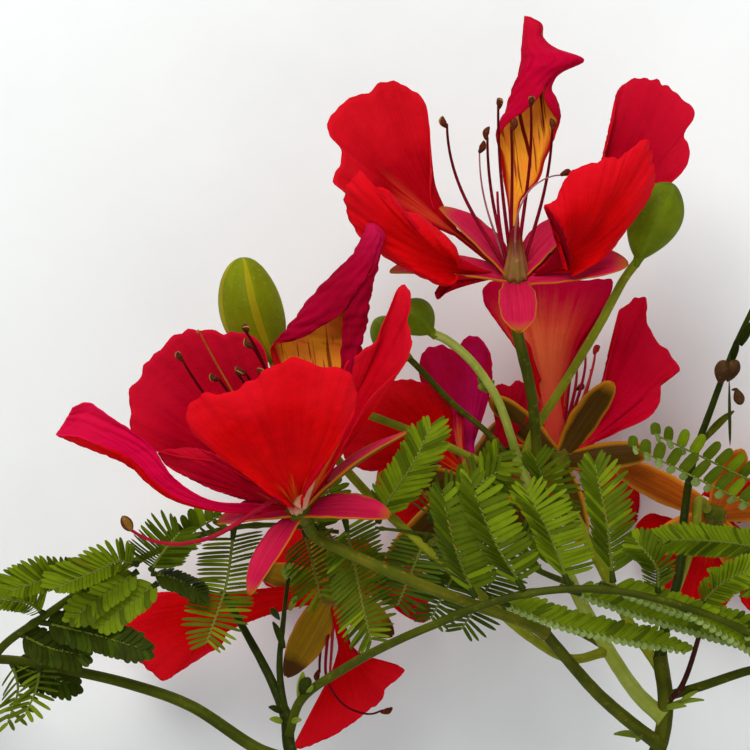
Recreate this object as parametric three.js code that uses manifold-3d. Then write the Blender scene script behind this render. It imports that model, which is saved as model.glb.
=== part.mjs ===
// A cut flowering branch of a flame tree, lying on its back: a woody foot, green stems,
// six blooms, four buds and five feathery leaves. Millimetres, +Z up, blooms up towards +Y.
import * as THREE from 'three';
import Module from 'manifold-3d';

const wasm = await Module();
wasm.setup();

// Where the drawing plane of the branch lies over the ground, and the middle of its box
const MIDDLE_X = -3.1;
const MIDDLE_Y = -41.3;
const PLANE_HEIGHT = 80.2;

// General sizes
const JOINT_GAP = 0.3;
const STEM_SIDES = 6;
const STALK_SIDES = 5;
const STEM_STEP = 13;
const STALK_RUN_IN = 11;

// Petals: shares of the length or of the half width
const PETAL_THICK = 0.8;
const PETAL_START = 1.2;
const CLAW_SHARE = 0.15;
const CLAW_OPENING = 0.42;
const FINE_GRAIN = { along: 6, across: 4 };
const PLAIN_GRAIN = { along: 5, across: 3 };

// Sepals
const SEPAL_THICK = 1.5;
const SEPAL_START = 1.8;
const SEPAL_ALONG = 3;
const SEPAL_ACROSS = 2;
const SEPAL_BOW = 0.12;
const SEPAL_CUP = 0.5;
const SEPAL_NARROWEST = 0.14;

// Stamens: the rise and the bend are shares of the distance from heart to anther
const STAMEN_RADIUS = 0.5;
const STAMEN_TAPER = 0.8;
const STAMEN_RING = 1.8;
const STAMEN_SINK = 0.8;
const STAMEN_RISE = 0.45;
const STAMEN_BEND = 0.4;
const STAMEN_STEPS = 3;
const STAMEN_SIDES = 3;
const ANTHER_RADIUS = 1.1;
const ANTHER_TAPER = 0.7;
const ANTHER_LENGTH = 3.6;
const ANTHER_BEHIND = 0.2;

// Calyx cup and buds
const CALYX_RADIUS = 3.1;
const CALYX_FOOT_SHARE = 0.62;
const CALYX_DEPTH = 4.5;
const CALYX_HEIGHT = 2.6;
const CALYX_SIDES = 8;
const BUD_ROWS = 6;
const BUD_SIDES = 8;
const BUD_END_RADIUS = 0.9;

// Leaves
const RACHIS_SIDES = 5;
const FROND_THICK = 1.0;
const RIB_HALF = 0.7;
const BARE_FOOT = 0.1;
const PINNA_ARCH = 0.12;
const LAST_PAIR_LOSS = 0.35;

// Colours of the plain solids
const COLOURS = {
  wood: 0x6b5a45,
  stem: 0x6f8a24,
  old: 0x4a2a1c,
  petal: 0xc8141c,
  bud: 0x8fa32a,
  leaf: 0x4f7d1c,
};

// Stems: a route of hand-picked points in the drawing plane's frame, with the radius at each end
const STEMS = [
  { name: 'woody_branch', colour: 'wood', from: 4.0, to: 3.1,
    route: [[38, -178, -76], [43, -160, -71], [48, -144, -62]] },
  { name: 'main_stem', colour: 'stem', from: 2.7, to: 2.1, clear: ['woody_branch'],
    route: [[47, -147, -64], [56, -133, -49], [69, -117, -30], [77.5, -103, -18], [79.5, -90, -15],
      [78, -77, -16]] },
  { name: 'left_stem', colour: 'stem', from: 2.2, to: 1.7, clear: ['woody_branch', 'main_stem'],
    route: [[47, -147, -64], [36, -139, -56], [18, -131, -40], [0, -121, -24], [-14, -112, -13],
      [-22.5, -103.5, -9], [-24, -91.5, -8]] },
  { name: 'left_shoot', colour: 'stem', from: 1.9, to: 1.5, clear: ['left_stem'],
    route: [[6, -125, -29], [-20, -130, -34], [-52, -132, -40], [-85, -124, -42], [-106, -111, -39]] },
  { name: 'raceme_axis', colour: 'stem', from: 1.5, to: 0.7, clear: ['main_stem'],
    route: [[78, -78, -16], [80, -68, -19], [84, -54, -24], [85.5, -40, -28], [88, -24, -28],
      [93, -9, -26], [98.5, 6.5, -22], [103.5, 18, -18]] },
  { name: 'peduncle_upper', colour: 'stem', from: 2.2, to: 1.4, clear: ['main_stem'],
    route: [[79.5, -94, -15], [72.5, -88, -19], [62.5, -73, -22], [55, -59, -22], [48.5, -44, -20],
      [42, -30, -17], [39, -23, -15]] },
  { name: 'peduncle_left', colour: 'stem', from: 1.9, to: 1.5, clear: ['main_stem'],
    route: [[78.5, -101.5, -16], [72.5, -97, -12], [61, -87, -6], [52.5, -77.5, 0], [45, -68.5, 5]] },
  { name: 'old_stalk', colour: 'old', from: 0.8, to: 0.6, clear: ['main_stem'],
    route: [[79.5, -90, -15], [83.5, -85, -11], [88, -71, -7], [91, -58, -6]] },
  { name: 'young_raceme', colour: 'stem', from: 1.1, to: 0.5, clear: ['left_stem'],
    route: [[-24, -95, -8], [-26, -80, -10], [-25, -67, -12], [-23.5, -54, -13]] },
  { name: 'side_shoot', colour: 'stem', from: 1.4, to: 0.9, clear: ['left_stem', 'young_raceme'],
    route: [[-24, -93, -8.5], [-29, -82, -13], [-36.5, -69, -20], [-42, -60, -26]] },
];

// Flower stalks: a route that ends a joint gap short of the bloom or bud it carries
const STALKS = [
  { name: 'stalk_bloom_upper', from: 1.2, to: 1.5, clear: ['peduncle_upper'], carries: 'bloom_upper',
    route: [[46, -38, -18], [44.5, -24, -14], [42.5, -5, -8]] },
  { name: 'stalk_bloom_left', from: 1.5, to: 1.6, clear: ['peduncle_left'], carries: 'bloom_left',
    route: [[46, -69.5, 4.3], [41.5, -67, 7], [25.5, -61, 12.5], [6.5, -53.5, 14], [-8, -47, 13]] },
  { name: 'stalk_bloom_right', from: 1.4, to: 1.5, clear: ['main_stem', 'raceme_axis'],
    carries: 'bloom_right',
    route: [[78, -80, -16], [71, -70, -21], [65, -58, -25], [58.5, -45, -27]] },
  { name: 'stalk_bloom_low_right', from: 1.3, to: 1.4, clear: ['raceme_axis'],
    carries: 'bloom_low_right',
    route: [[82, -61, -22], [86, -52, -28], [89, -42, -31]] },
  { name: 'stalk_bloom_low_left', from: 1.3, to: 1.4, clear: ['peduncle_upper'],
    carries: 'bloom_low_left',
    route: [[63, -74, -22], [55, -70, -25], [43, -66, -29], [26.5, -60, -36], [8, -52, -44]] },
  { name: 'stalk_bloom_middle', from: 1.2, to: 1.4, clear: ['peduncle_upper'], carries: 'bloom_middle',
    route: [[50, -48, -21], [43, -46, -25], [34, -40, -26]] },
  { name: 'stalk_bud_open', from: 1.3, to: 1.2, clear: ['peduncle_upper'], carries: 'bud_open',
    route: [[64, -76, -22], [53.5, -77.5, -13], [42, -71, -4], [27, -58, 2], [13, -46, 4], [-1, -33, 1],
      [-15, -17, -5], [-25, -3, -11]] },
  { name: 'stalk_bud_right', from: 1.0, to: 1.1, clear: ['peduncle_upper'], carries: 'bud_right',
    route: [[40, -25, -15.5], [43.5, -16, -20], [50.5, -4.5, -17], [61, 13.5, -9], [67.5, 26, -4]] },
  { name: 'stalk_bud_middle', from: 0.9, to: 1.0, clear: ['peduncle_upper'], carries: 'bud_middle',
    route: [[39.3, -24, -15], [36.5, -15, -11], [33, -6, -10], [26, 4, -9], [19.5, 9.5, -8]] },
  { name: 'stalk_bud_back', from: 0.8, to: 0.9, clear: ['peduncle_upper', 'stalk_bloom_upper'],
    carries: 'bud_back',
    route: [[41, -28, -16], [31, -16, -20], [21.5, -8, -21], [12, 2, -21]] },
  { name: 'stalk_bare', from: 1.0, to: 1.1, clear: ['peduncle_upper', 'stalk_bloom_upper'],
    carries: null,
    route: [[40.5, -27, -16.5], [30, -24, -9], [20, -19.5, -5], [9.5, -15, -2], [-2.5, -10.5, 2]] },
];

// Blooms. Each petal leaves the heart by the first handle, bends at the second and ends at
// its tip, all from the heart; its face is the way its inner side looks.
const BLOOMS = [
  { name: 'bloom_upper', grain: FINE_GRAIN, heart: [37.8, 25.7, 2], axis: [0, 0.9, 0.42],
    petals: [
      { handles: [[-20, 11, -3], [-38, 28, -12]], tip: [-37, 54, -14], face: [0.35, -0.2, 0.9],
        width: 29, cup: [0.5, 0.35] },
      { handles: [[-14, -7, 4], [-33, -9, 10]], tip: [-45, 26, 12], face: [0.43, 0.74, -0.52],
        width: 36, cup: [0.7, 1.3], widest: 0.64, blunt: 0.35 },
      { handles: [[16, 9, -5], [36, 28, -15]], tip: [40, 54, -17], face: [-0.35, -0.2, 0.9],
        width: 28, cup: [0.4, 0.35] },
      { handles: [[14, -1, 13], [19, 6, 28]], tip: [29, 38, 18], face: [-0.45, 0.3, -0.85],
        width: 32, cup: [0.6, 0.45], widest: 0.8, blunt: 0.4 },
      { handles: [[1, 22, 2], [4, 42, 0]], tip: [6, 71, 2], face: [0.1, -0.1, 1],
        width: 24, cup: [0.7, 2.2], widest: 0.6, blunt: 0.45 },
    ],
    sepals: [
      { tip: [-0.5, -14, 18], face: [0, 0.79, 0.61], width: 12 },
      { tip: [-32, 2.5, 1], face: [0.05, 0.9, 0.4], width: 9 },
      { tip: [-20, 19.5, -4], face: [0.6, 0.5, 0.7], width: 8.5 },
      { tip: [17, 18, -6], face: [-0.5, 0.5, 0.8], width: 9 },
      { tip: [30, 3, -2], face: [0, 0.85, 0.5], width: 9 },
    ],
    stamens: [[-18.6, 43.7, 14], [-4.9, 48.3, 15], [-10, 37, 12], [4.6, 48.9, 12], [10.8, 43.2, 13],
      [13.5, 28.1, 14]] },
  { name: 'bloom_left', grain: FINE_GRAIN, heart: [-20, -36.5, 16], axis: [-0.35, 0.6, 0.7],
    petals: [
      { handles: [[-2, 3, 14], [-6, 13, 32]], tip: [-8, 42, 31], face: [0.12, 0.25, -0.96],
        width: 45, cup: [0.7, 0.35], widest: 0.82, blunt: 0.5 },
      { handles: [[-8, 9, 2], [-24, 22, -2]], tip: [-33, 48, -3], face: [0.25, 0.15, 0.95],
        width: 40, cup: [0.5, 0.35] },
      { handles: [[-16, 0, 3], [-38, 1, 6]], tip: [-62, 27, 8], face: [0.35, 0.85, 0.3],
        width: 26, cup: [0.8, 1.1] },
      { handles: [[9, 12, 0], [24, 24, 2]], tip: [27.5, 59, 2], face: [-0.8, 0.1, 0.6],
        width: 27, cup: [0.7, 0.9] },
      { handles: [[4, 22, 3], [9, 44, 6]], tip: [20, 77, 6], face: [-0.3, -0.05, 1],
        width: 33, cup: [0.5, 2.2], widest: 0.56, blunt: 0.18 },
    ],
    sepals: [
      { tip: [-15, -22, 4], face: [-0.5, 0.4, 0.75], width: 9.5 },
      { tip: [24, -1, 5], face: [0, 0.8, 0.6], width: 9.5 },
      { tip: [27, 21, -5], face: [-0.6, 0.6, 0.5], width: 8 },
      { tip: [-22, -3, -6], face: [-0.1, 0.8, 0.55], width: 9 },
      { tip: [-4, 17, -17], face: [0, 0.75, 0.65], width: 9 },
    ],
    stamens: [[-26, 48.5, 14], [-31.7, 42, 16], [-16, 50, 15], [-22.4, 37.8, 17], [-9, 36, 14]],
    curved: { handles: [[-9, 6, 4], [-20, -14, 9]], tip: [-46, -4, 10] } },
  { name: 'bloom_right', grain: PLAIN_GRAIN, heart: [51.5, -24.2, -35], axis: [0.1, 0.5, -0.86],
    petals: [
      { handles: [[-1, 12, -1], [-3, 30, -5]], tip: [-3, 59, -12], face: [0.05, 0, 1],
        width: 36, cup: [0.6, 0.3], widest: 0.84, blunt: 0.45 },
      { handles: [[8, 8, -2], [24, 20, -7]], tip: [25, 47, -9], face: [-0.25, 0, 0.97],
        width: 28, cup: [0.5, 0.5] },
      { handles: [[8, -1, -12], [20, -6, -26]], tip: [24, -16, -44], face: [-0.3, -0.3, -0.9],
        width: 22, cup: [0.5, 0.4] },
      { handles: [[-2, -4, -12], [-4, -10, -26]], tip: [-5, -12, -44], face: [0.2, 0.8, -0.4],
        width: 26, cup: [0.5, 0.4] },
      { handles: [[-2, 6, -14], [-8, 14, -30]], tip: [-13, 18, -44], face: [0.3, -0.6, -0.6],
        width: 20, cup: [0.6, 1.4], widest: 0.6, blunt: 0.3 },
    ],
    sepals: [
      { tip: [14.5, 22, 3], face: [-0.2, 0.2, -0.95], width: 9 },
      { tip: [25, 3, 3], face: [-0.1, 0, -1], width: 8 },
      { tip: [-19.5, 18, 3], face: [0.2, 0.1, -0.97], width: 8 },
      { tip: [-23, 2, 2], face: [0.1, 0, -1], width: 8 },
      { tip: [6, -22.5, 3], face: [0, 0.15, -0.98], width: 8 },
    ],
    stamens: [[10, 31, -14], [6, 26, -18], [16, 33, -12], [3, 33, -20]] },
  { name: 'bloom_low_right', grain: PLAIN_GRAIN, heart: [95, -39, -44], axis: [0.45, -0.35, -0.83],
    petals: [
      { handles: [[-4, -3, -7], [-12, -8, -16]], tip: [-20, -14, -26], face: [0.3, 0.3, -0.9],
        width: 19, cup: [0.6, 0.7] },
      { handles: [[8, 6, -6], [22, 12, -14]], tip: [33, 8, -28], face: [-0.3, -0.2, -0.93],
        width: 22, cup: [0.6, 0.6] },
      { handles: [[8, -6, -6], [20, -18, -14]], tip: [26, -30, -28], face: [-0.3, 0.3, -0.9],
        width: 24, cup: [0.6, 0.6] },
      { handles: [[0, -8, -7], [-3, -20, -18]], tip: [-2, -32, -30], face: [0, 0.4, -0.9],
        width: 22, cup: [0.6, 0.6] },
      { handles: [[4, 5, -8], [8, 9, -20]], tip: [12, 10, -33.2], face: [0, -0.6, -0.6],
        width: 20, cup: [0.6, 1.4], widest: 0.6, blunt: 0.3 },
    ],
    sepals: [
      { tip: [-28, 14, 4], face: [0, 0.1, -1], width: 9 },
      { tip: [8, 18, 2], face: [0, -0.1, -1], width: 8.5 },
      { tip: [24, 4, 0], face: [-0.1, 0, -1], width: 8.5 },
      { tip: [10, -20, 0], face: [0, 0.2, -1], width: 8.5 },
      { tip: [-19, -11, 2], face: [0, 0.2, -1], width: 8.5 },
    ],
    stamens: [[15, -5, -30], [19, -12, -28], [10, -12, -31]] },
  { name: 'bloom_low_left', grain: PLAIN_GRAIN, heart: [-12, -61.3, -50], axis: [-0.1, -0.8, -0.55],
    petals: [
      { handles: [[-20, -2, 0], [-36, -8, -4]], tip: [-57, -19, -8], face: [0.1, 0.2, 0.97],
        width: 27, cup: [0.4, 0.3] },
      { handles: [[3, -12, 1], [13, -28, 2]], tip: [-5, -46, -4], face: [0.75, 0.2, 0.6],
        width: 27, cup: [0.5, 0.5] },
      { handles: [[10, 0, -4], [20, 0, -14]], tip: [27, -4, -26], face: [-0.2, 0.3, 0.9],
        width: 18, cup: [0.5, 0.4] },
      { handles: [[-6, 4, -8], [-14, 10, -18]], tip: [-19, 14, -28.8], face: [0.5, -0.3, -0.8],
        width: 22, cup: [0.5, 0.4] },
      { handles: [[3, 4, -10], [6, 8, -20]], tip: [8, 14, -29], face: [-0.1, -0.7, -0.6],
        width: 20, cup: [0.6, 1.4], widest: 0.6, blunt: 0.3 },
    ],
    sepals: [
      { tip: [-13, -23.5, 2], face: [0.2, 0.1, -0.97], width: 11 },
      { tip: [17, -12, 2], face: [-0.1, 0.1, -1], width: 10 },
      { tip: [-22, 6, -4], face: [0, 0.2, -0.98], width: 9 },
      { tip: [17, 10, -7], face: [0, 0, -1], width: 9 },
      { tip: [-4, 19, -12], face: [0, -0.4, -0.9], width: 9 },
    ],
    stamens: [[-1, -27, -9], [3, -26, -12], [15.8, -33, -6], [6, -30, -15]] },
  { name: 'bloom_middle', grain: PLAIN_GRAIN, heart: [26.7, -30, -24], axis: [-0.45, 0.35, -0.82],
    petals: [
      { handles: [[-8, 6, 0], [-24, 10, 1]], tip: [-30, 29, 0], face: [0.1, 0.1, 0.98],
        width: 28, cup: [0.5, 0.4] },
      { handles: [[-2, 12, -2], [-4, 26, -6]], tip: [-7, 41, -9], face: [0.2, 0, 0.97],
        width: 22, cup: [0.5, 0.6] },
      { handles: [[-5, -6, -6], [-8, -14, -16]], tip: [-10, -20, -30], face: [0.2, 0.6, -0.7],
        width: 20, cup: [0.5, 0.5] },
      { handles: [[-8, 0, -12], [-18, -2, -26]], tip: [-26, -4, -46], face: [0.6, 0.1, -0.6],
        width: 26, cup: [0.5, 0.4] },
      { handles: [[0, 4, -14], [0, 8, -32]], tip: [-4, 12, -55.4], face: [-0.5, 0.3, 0],
        width: 20, cup: [0.6, 1.4], widest: 0.6, blunt: 0.3 },
    ],
    sepals: [
      { tip: [-24, -24, 0], face: [0, 0.1, -1], width: 9.5 },
      { tip: [-26, 2, 4], face: [0, 0, -1], width: 8.5 },
      { tip: [10, 20, 1], face: [0, 0, -1], width: 8 },
      { tip: [18, -14, -5], face: [0, 0, -1], width: 8 },
      { tip: [-9, 20, 5], face: [0, 0, -1], width: 8 },
    ],
    stamens: [[-18, 12, -32], [-22, 8, -30], [-24, 14, -26]] },
];

// Buds: where the bud sits on its stalk, its tip, and its greatest thickness
const BUDS = [
  { name: 'bud_open', foot: [-28, 4, -12], tip: [-36, 32, -8], thick: 18.5, fullest: 0.5 },
  { name: 'bud_right', foot: [71, 31, -2], tip: [82, 52, 2], thick: 15, fullest: 0.55 },
  { name: 'bud_middle', foot: [15.5, 11.5, -7], tip: [7, 19.5, -5], thick: 10.5, fullest: 0.55 },
  { name: 'bud_back', foot: [8.5, 5.5, -21], tip: [0, 15.5, -22], thick: 10, fullest: 0.55 },
];

// Leaves: a rachis and pairs of toothed pinnae, whose reach turns from the first pair to the last
const LEAVES = [
  { name: 'leaf_front', clear: ['left_stem', 'young_raceme', 'side_shoot'], from: 1.1, to: 0.5,
    rachis: [[-23.5, -98, -7.5], [-20, -88, -4], [-8, -79, 1], [6.5, -70.5, 14], [17.5, -65.5, 19],
      [25.5, -62, 21], [39, -58, 23], [51.5, -56.5, 24], [63.5, -57, 24], [75.5, -59.5, 23],
      [87, -63, 21], [100.5, -69, 17], [115, -77.5, 10], [130, -89, -2], [143, -102.5, -18]],
    pairs: 8, first: 0.31, last: 0.95, teeth: 5, leaflet: 6.8,
    above: [[-10, 28, 3], [8, 20, -4]], below: [[47, -12, -18], [12, -30, -16]],
    aboveFace: [0.5, -0.1, 1], belowFace: [0.4, 0.5, 0.8] },
  { name: 'leaf_right', clear: ['main_stem', 'raceme_axis', 'old_stalk'], from: 1.3, to: 0.5,
    rachis: [[79.5, -88, -15], [88.5, -85, -11], [99.5, -81, -8], [113, -77, -6], [124, -69, -6],
      [131, -58, -7], [134, -46, -10], [134, -35, -14], [131, -25, -20]],
    pairs: 5, first: 0.56, last: 0.97, teeth: 5, leaflet: 5.6,
    above: [[-44, 6, 14], [-60, 27, 12]], below: [[26, 8, -12], [16, 24, -14]],
    aboveFace: [0.1, -0.6, 1], belowFace: [0.1, -0.6, 1] },
  { name: 'leaf_left', clear: ['left_shoot'], from: 1.3, to: 0.5,
    rachis: [[-107, -111, -38.5], [-113, -101, -33], [-110, -88, -24], [-102.5, -75, -15],
      [-90.5, -66, -9], [-78, -57.5, -5], [-66, -51, -3], [-52.5, -45, -4], [-38.5, -41.5, -8],
      [-26, -41, -12], [-10, -43, -16]],
    pairs: 7, first: 0.28, last: 0.96, teeth: 5, leaflet: 6,
    above: [[-27, 10, 6], [6, 18, 6]], below: [[27, -7, -3], [4, -30, 2]],
    aboveFace: [0.5, -0.3, 1], belowFace: [0.5, 0.2, 1] },
  { name: 'leaf_low_left', clear: ['left_stem'], from: 1.4, to: 0.6,
    rachis: [[-20, -105.5, -10], [-31, -102.5, -12], [-50.5, -90.5, -15], [-67, -85, -19],
      [-86.5, -81, -24], [-103.5, -79, -32], [-121.5, -82, -46], [-138, -88, -63], [-150, -97, -78]],
    pairs: 5, first: 0.5, last: 0.94, teeth: 5, leaflet: 5.4,
    above: [[-18, 20, -12], [-26, 10, -2]], below: [[-14, -24, -10], [-4, -28, 4]],
    aboveFace: [-0.6, 0, 1], belowFace: [-0.6, 0.2, 1] },
  { name: 'leaf_middle', clear: ['peduncle_upper', 'stalk_bud_open', 'stalk_bloom_left'], from: 0.9,
    to: 0.4,
    rachis: [[54, -57.5, -20], [46, -54, -12], [36, -49, -4], [24, -45, 2], [12, -42.5, 5], [0, -41, 6]],
    pairs: 4, first: 0.4, last: 0.97, teeth: 5, leaflet: 7,
    above: [[6, 26, 2], [11, 22, 8]], below: [[-12, -20, -6], [-8, -24, -8]],
    aboveFace: [0.5, -0.3, 1], belowFace: [0.5, 0.3, 1] },
];

const vec = (list) => new THREE.Vector3(...list);

// Triangles across a ring: a fan on a round limb, a strip between the two sides of a blade
function capFaces(around) {
  const faces = [];
  if (around < 6 || around % 2 === 1) {
    for (let k = 1; k + 1 < around; k += 1) faces.push([0, k, k + 1]);
    return faces;
  }
  for (let k = 0; k + 1 < around / 2; k += 1) {
    const far = around - 1 - k;
    faces.push([k, k + 1, far - 1]);
    faces.push([k, far - 1, far]);
  }
  return faces;
}

// A closed solid through rings of equally many points, with its two ends capped
function loft(rings) {
  const around = rings[0].length;
  const points = rings.flat();
  const faces = [];
  for (let row = 0; row + 1 < rings.length; row += 1) {
    for (let k = 0; k < around; k += 1) {
      const a = row * around + k;
      const b = row * around + ((k + 1) % around);
      faces.push(a, b, b + around, a, b + around, a + around);
    }
  }
  const last = (rings.length - 1) * around;
  for (const [a, b, c] of capFaces(around)) {
    faces.push(a, c, b, a + last, b + last, c + last);
  }
  return new wasm.Manifold(new wasm.Mesh({
    numProp: 3,
    vertProperties: Float32Array.from(points.flatMap((p) => [p.x, p.y, p.z])),
    triVerts: Uint32Array.from(faces),
  }));
}

// The largest piece of a solid, with any sealed hollow filled
function largest(solid) {
  const pieces = solid.decompose();
  pieces.sort((a, b) => b.volume() - a.volume());
  return pieces[0];
}

// A round limb along a route, from one radius to the other
function limb(route, from, to, steps, sides, grow = 0) {
  const curve = new THREE.CatmullRomCurve3(route);
  const frames = curve.computeFrenetFrames(steps, false);
  const rings = [];
  for (let row = 0; row <= steps; row += 1) {
    const share = row / steps;
    const radius = THREE.MathUtils.lerp(from, to, share) + grow;
    const centre = curve.getPointAt(share);
    if (grow > 0 && row === 0) centre.addScaledVector(frames.tangents[row], -grow);
    if (grow > 0 && row === steps) centre.addScaledVector(frames.tangents[row], grow);
    const ring = [];
    for (let k = 0; k < sides; k += 1) {
      const turn = (k / sides) * 2 * Math.PI;
      ring.push(centre.clone()
        .addScaledVector(frames.normals[row], Math.cos(turn) * radius)
        .addScaledVector(frames.binormals[row], Math.sin(turn) * radius));
    }
    rings.push(ring);
  }
  return loft(rings);
}

// The side and inner direction of a blade at one place on its midrib
function bladeFrame(curve, share, face) {
  const ahead = curve.getTangent(share);
  const inner = face.clone().addScaledVector(ahead, -face.dot(ahead)).normalize();
  const side = new THREE.Vector3().crossVectors(ahead, inner);
  return { centre: curve.getPoint(share), inner, side };
}

// A thin curved blade: shareOf gives its half width and arcOf the half angle of its cross-section
function blade(curve, face, along, across, thick, halfOf, arcOf) {
  const rings = [];
  for (let row = 0; row <= along; row += 1) {
    const share = Math.sin((row / along) * (Math.PI / 2));
    const { centre, inner, side } = bladeFrame(curve, share, face);
    const half = halfOf(share);
    const arc = arcOf(share);
    const radius = half / arc;
    const upper = [];
    const lower = [];
    for (let k = 0; k <= across; k += 1) {
      const turn = arc * ((2 * k) / across - 1);
      const point = centre.clone()
        .addScaledVector(side, radius * Math.sin(turn))
        .addScaledVector(inner, radius * (1 - Math.cos(turn)));
      const out = inner.clone().multiplyScalar(Math.cos(turn)).addScaledVector(side, -Math.sin(turn));
      upper.push(point.clone().addScaledVector(out, thick / 2));
      lower.push(point.clone().addScaledVector(out, -thick / 2));
    }
    rings.push([...upper, ...lower.reverse()]);
  }
  return loft(rings);
}

// The share of a petal's full half width at one place: a narrow claw, then a round blade
function spoon(share, widest, blunt) {
  const open = THREE.MathUtils.smoothstep(share, widest - CLAW_OPENING, widest);
  const past = Math.max(0, (share - widest) / (1 - widest));
  const round = Math.sqrt(Math.max(0, 1 - past * past));
  return (CLAW_SHARE + (1 - CLAW_SHARE) * open) * (blunt + (1 - blunt) * round);
}

function petalSolid(petal, grain) {
  const { handles, tip, face, width, cup, widest = 0.74, blunt = 0.12 } = petal;
  const start = vec(handles[0]).setLength(PETAL_START);
  const curve = new THREE.CubicBezierCurve3(start, vec(handles[0]), vec(handles[1]), vec(tip));
  return blade(curve, vec(face), grain.along, grain.across, PETAL_THICK,
    (share) => (width / 2) * spoon(share, widest, blunt),
    (share) => THREE.MathUtils.lerp(cup[0], cup[1], share));
}

// The share of a sepal's half width at one place: broad, and pointed at its tip
function lance(share) {
  const swell = Math.sin(Math.PI * (SEPAL_NARROWEST + 0.84 * share)) ** 0.8;
  return Math.max(SEPAL_NARROWEST, swell);
}

function sepalSolid(sepal) {
  const face = vec(sepal.face).normalize();
  const tip = vec(sepal.tip);
  const bow = face.clone().multiplyScalar(tip.length() * SEPAL_BOW);
  const start = tip.clone().setLength(SEPAL_START);
  const curve = new THREE.QuadraticBezierCurve3(start, tip.clone().multiplyScalar(0.5).add(bow), tip);
  return blade(curve, face, SEPAL_ALONG, SEPAL_ACROSS, SEPAL_THICK,
    (share) => (sepal.width / 2) * lance(share),
    () => SEPAL_CUP);
}

// A filament that bends up from the axis, with its anther
function stamenSolid(curve) {
  const end = curve.getPoint(1);
  const ahead = curve.getTangent(1);
  const route = [0, 0.3, 0.65, 1].map((share) => curve.getPoint(share));
  const filament = limb(
    route, STAMEN_RADIUS, STAMEN_RADIUS * STAMEN_TAPER, STAMEN_STEPS, STAMEN_SIDES);
  const start = end.clone().addScaledVector(ahead, -ANTHER_BEHIND * ANTHER_LENGTH);
  const stop = end.clone().addScaledVector(ahead, (1 - ANTHER_BEHIND) * ANTHER_LENGTH);
  const anther = limb([start, stop], ANTHER_RADIUS, ANTHER_RADIUS * ANTHER_TAPER, 1, STAMEN_SIDES);
  return filament.add(anther);
}

function stamenCurve(anther, axis) {
  const end = vec(anther);
  const rise = axis.clone().multiplyScalar(end.length() * STAMEN_RISE);
  const bend = end.clone().addScaledVector(axis, -end.length() * STAMEN_BEND);
  const aside = end.clone().addScaledVector(axis, -end.dot(axis)).setLength(STAMEN_RING);
  const start = axis.clone().multiplyScalar(CALYX_HEIGHT - STAMEN_SINK).add(aside);
  return new THREE.CubicBezierCurve3(start, rise.add(aside), bend, end);
}

function bloomSolid(bloom) {
  const axis = vec(bloom.axis).normalize();
  const foot = axis.clone().multiplyScalar(-CALYX_DEPTH);
  const crown = axis.clone().multiplyScalar(CALYX_HEIGHT);
  let solid = limb([foot, crown], CALYX_RADIUS * CALYX_FOOT_SHARE, CALYX_RADIUS, 1, CALYX_SIDES);
  for (const petal of bloom.petals) solid = solid.add(petalSolid(petal, bloom.grain));
  for (const sepal of bloom.sepals) solid = solid.add(sepalSolid(sepal));
  for (const anther of bloom.stamens) solid = solid.add(stamenSolid(stamenCurve(anther, axis)));
  if (bloom.curved) {
    const { handles, tip } = bloom.curved;
    solid = solid.add(stamenSolid(
      new THREE.CubicBezierCurve3(vec([0, 0, 0]), vec(handles[0]), vec(handles[1]), vec(tip))));
  }
  return largest(solid).translate(bloom.heart);
}

function budSolid(bud) {
  const foot = vec(bud.foot);
  const tip = vec(bud.tip);
  const ahead = tip.clone().sub(foot).normalize();
  const normal = new THREE.Vector3(0, 0, 1).cross(ahead).normalize();
  const binormal = new THREE.Vector3().crossVectors(ahead, normal);
  const rings = [];
  for (let row = 0; row <= BUD_ROWS; row += 1) {
    const share = row / BUD_ROWS;
    const bend = share ** (Math.log(0.5) / Math.log(bud.fullest));
    const radius = Math.max(BUD_END_RADIUS, (bud.thick / 2) * Math.sin(Math.PI * bend) ** 0.5);
    const centre = foot.clone().lerp(tip, share);
    const ring = [];
    for (let k = 0; k < BUD_SIDES; k += 1) {
      const turn = (k / BUD_SIDES) * 2 * Math.PI;
      ring.push(centre.clone()
        .addScaledVector(normal, Math.cos(turn) * radius)
        .addScaledVector(binormal, Math.sin(turn) * radius));
    }
    rings.push(ring);
  }
  return loft(rings);
}

// One pinna: a thin blade from a point on the rachis, its edge cut to the rib between leaflets
function pinnaSolid(base, reach, face, teeth, leaflet) {
  const arch = new THREE.Vector3(0, 0, 1).multiplyScalar(reach.length() * PINNA_ARCH);
  const curve = new THREE.QuadraticBezierCurve3(
    base, base.clone().addScaledVector(reach, 0.5).add(arch), base.clone().add(reach));
  const rows = teeth * 2;
  const rings = [];
  for (let row = 0; row <= rows; row += 1) {
    const share = row === 0 ? 0 : THREE.MathUtils.lerp(BARE_FOOT, 1, row / rows);
    const { centre, inner, side } = bladeFrame(curve, share, face);
    const widening = 0.2 + 3 * share;
    const narrowing = 0.35 + 2.2 * (1 - share);
    const half = row % 2 === 1 ? leaflet * Math.min(1, widening, narrowing) : RIB_HALF;
    rings.push([
      centre.clone().addScaledVector(side, -half),
      centre.clone().addScaledVector(inner, FROND_THICK),
      centre.clone().addScaledVector(side, half),
    ]);
  }
  return loft(rings);
}

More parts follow.
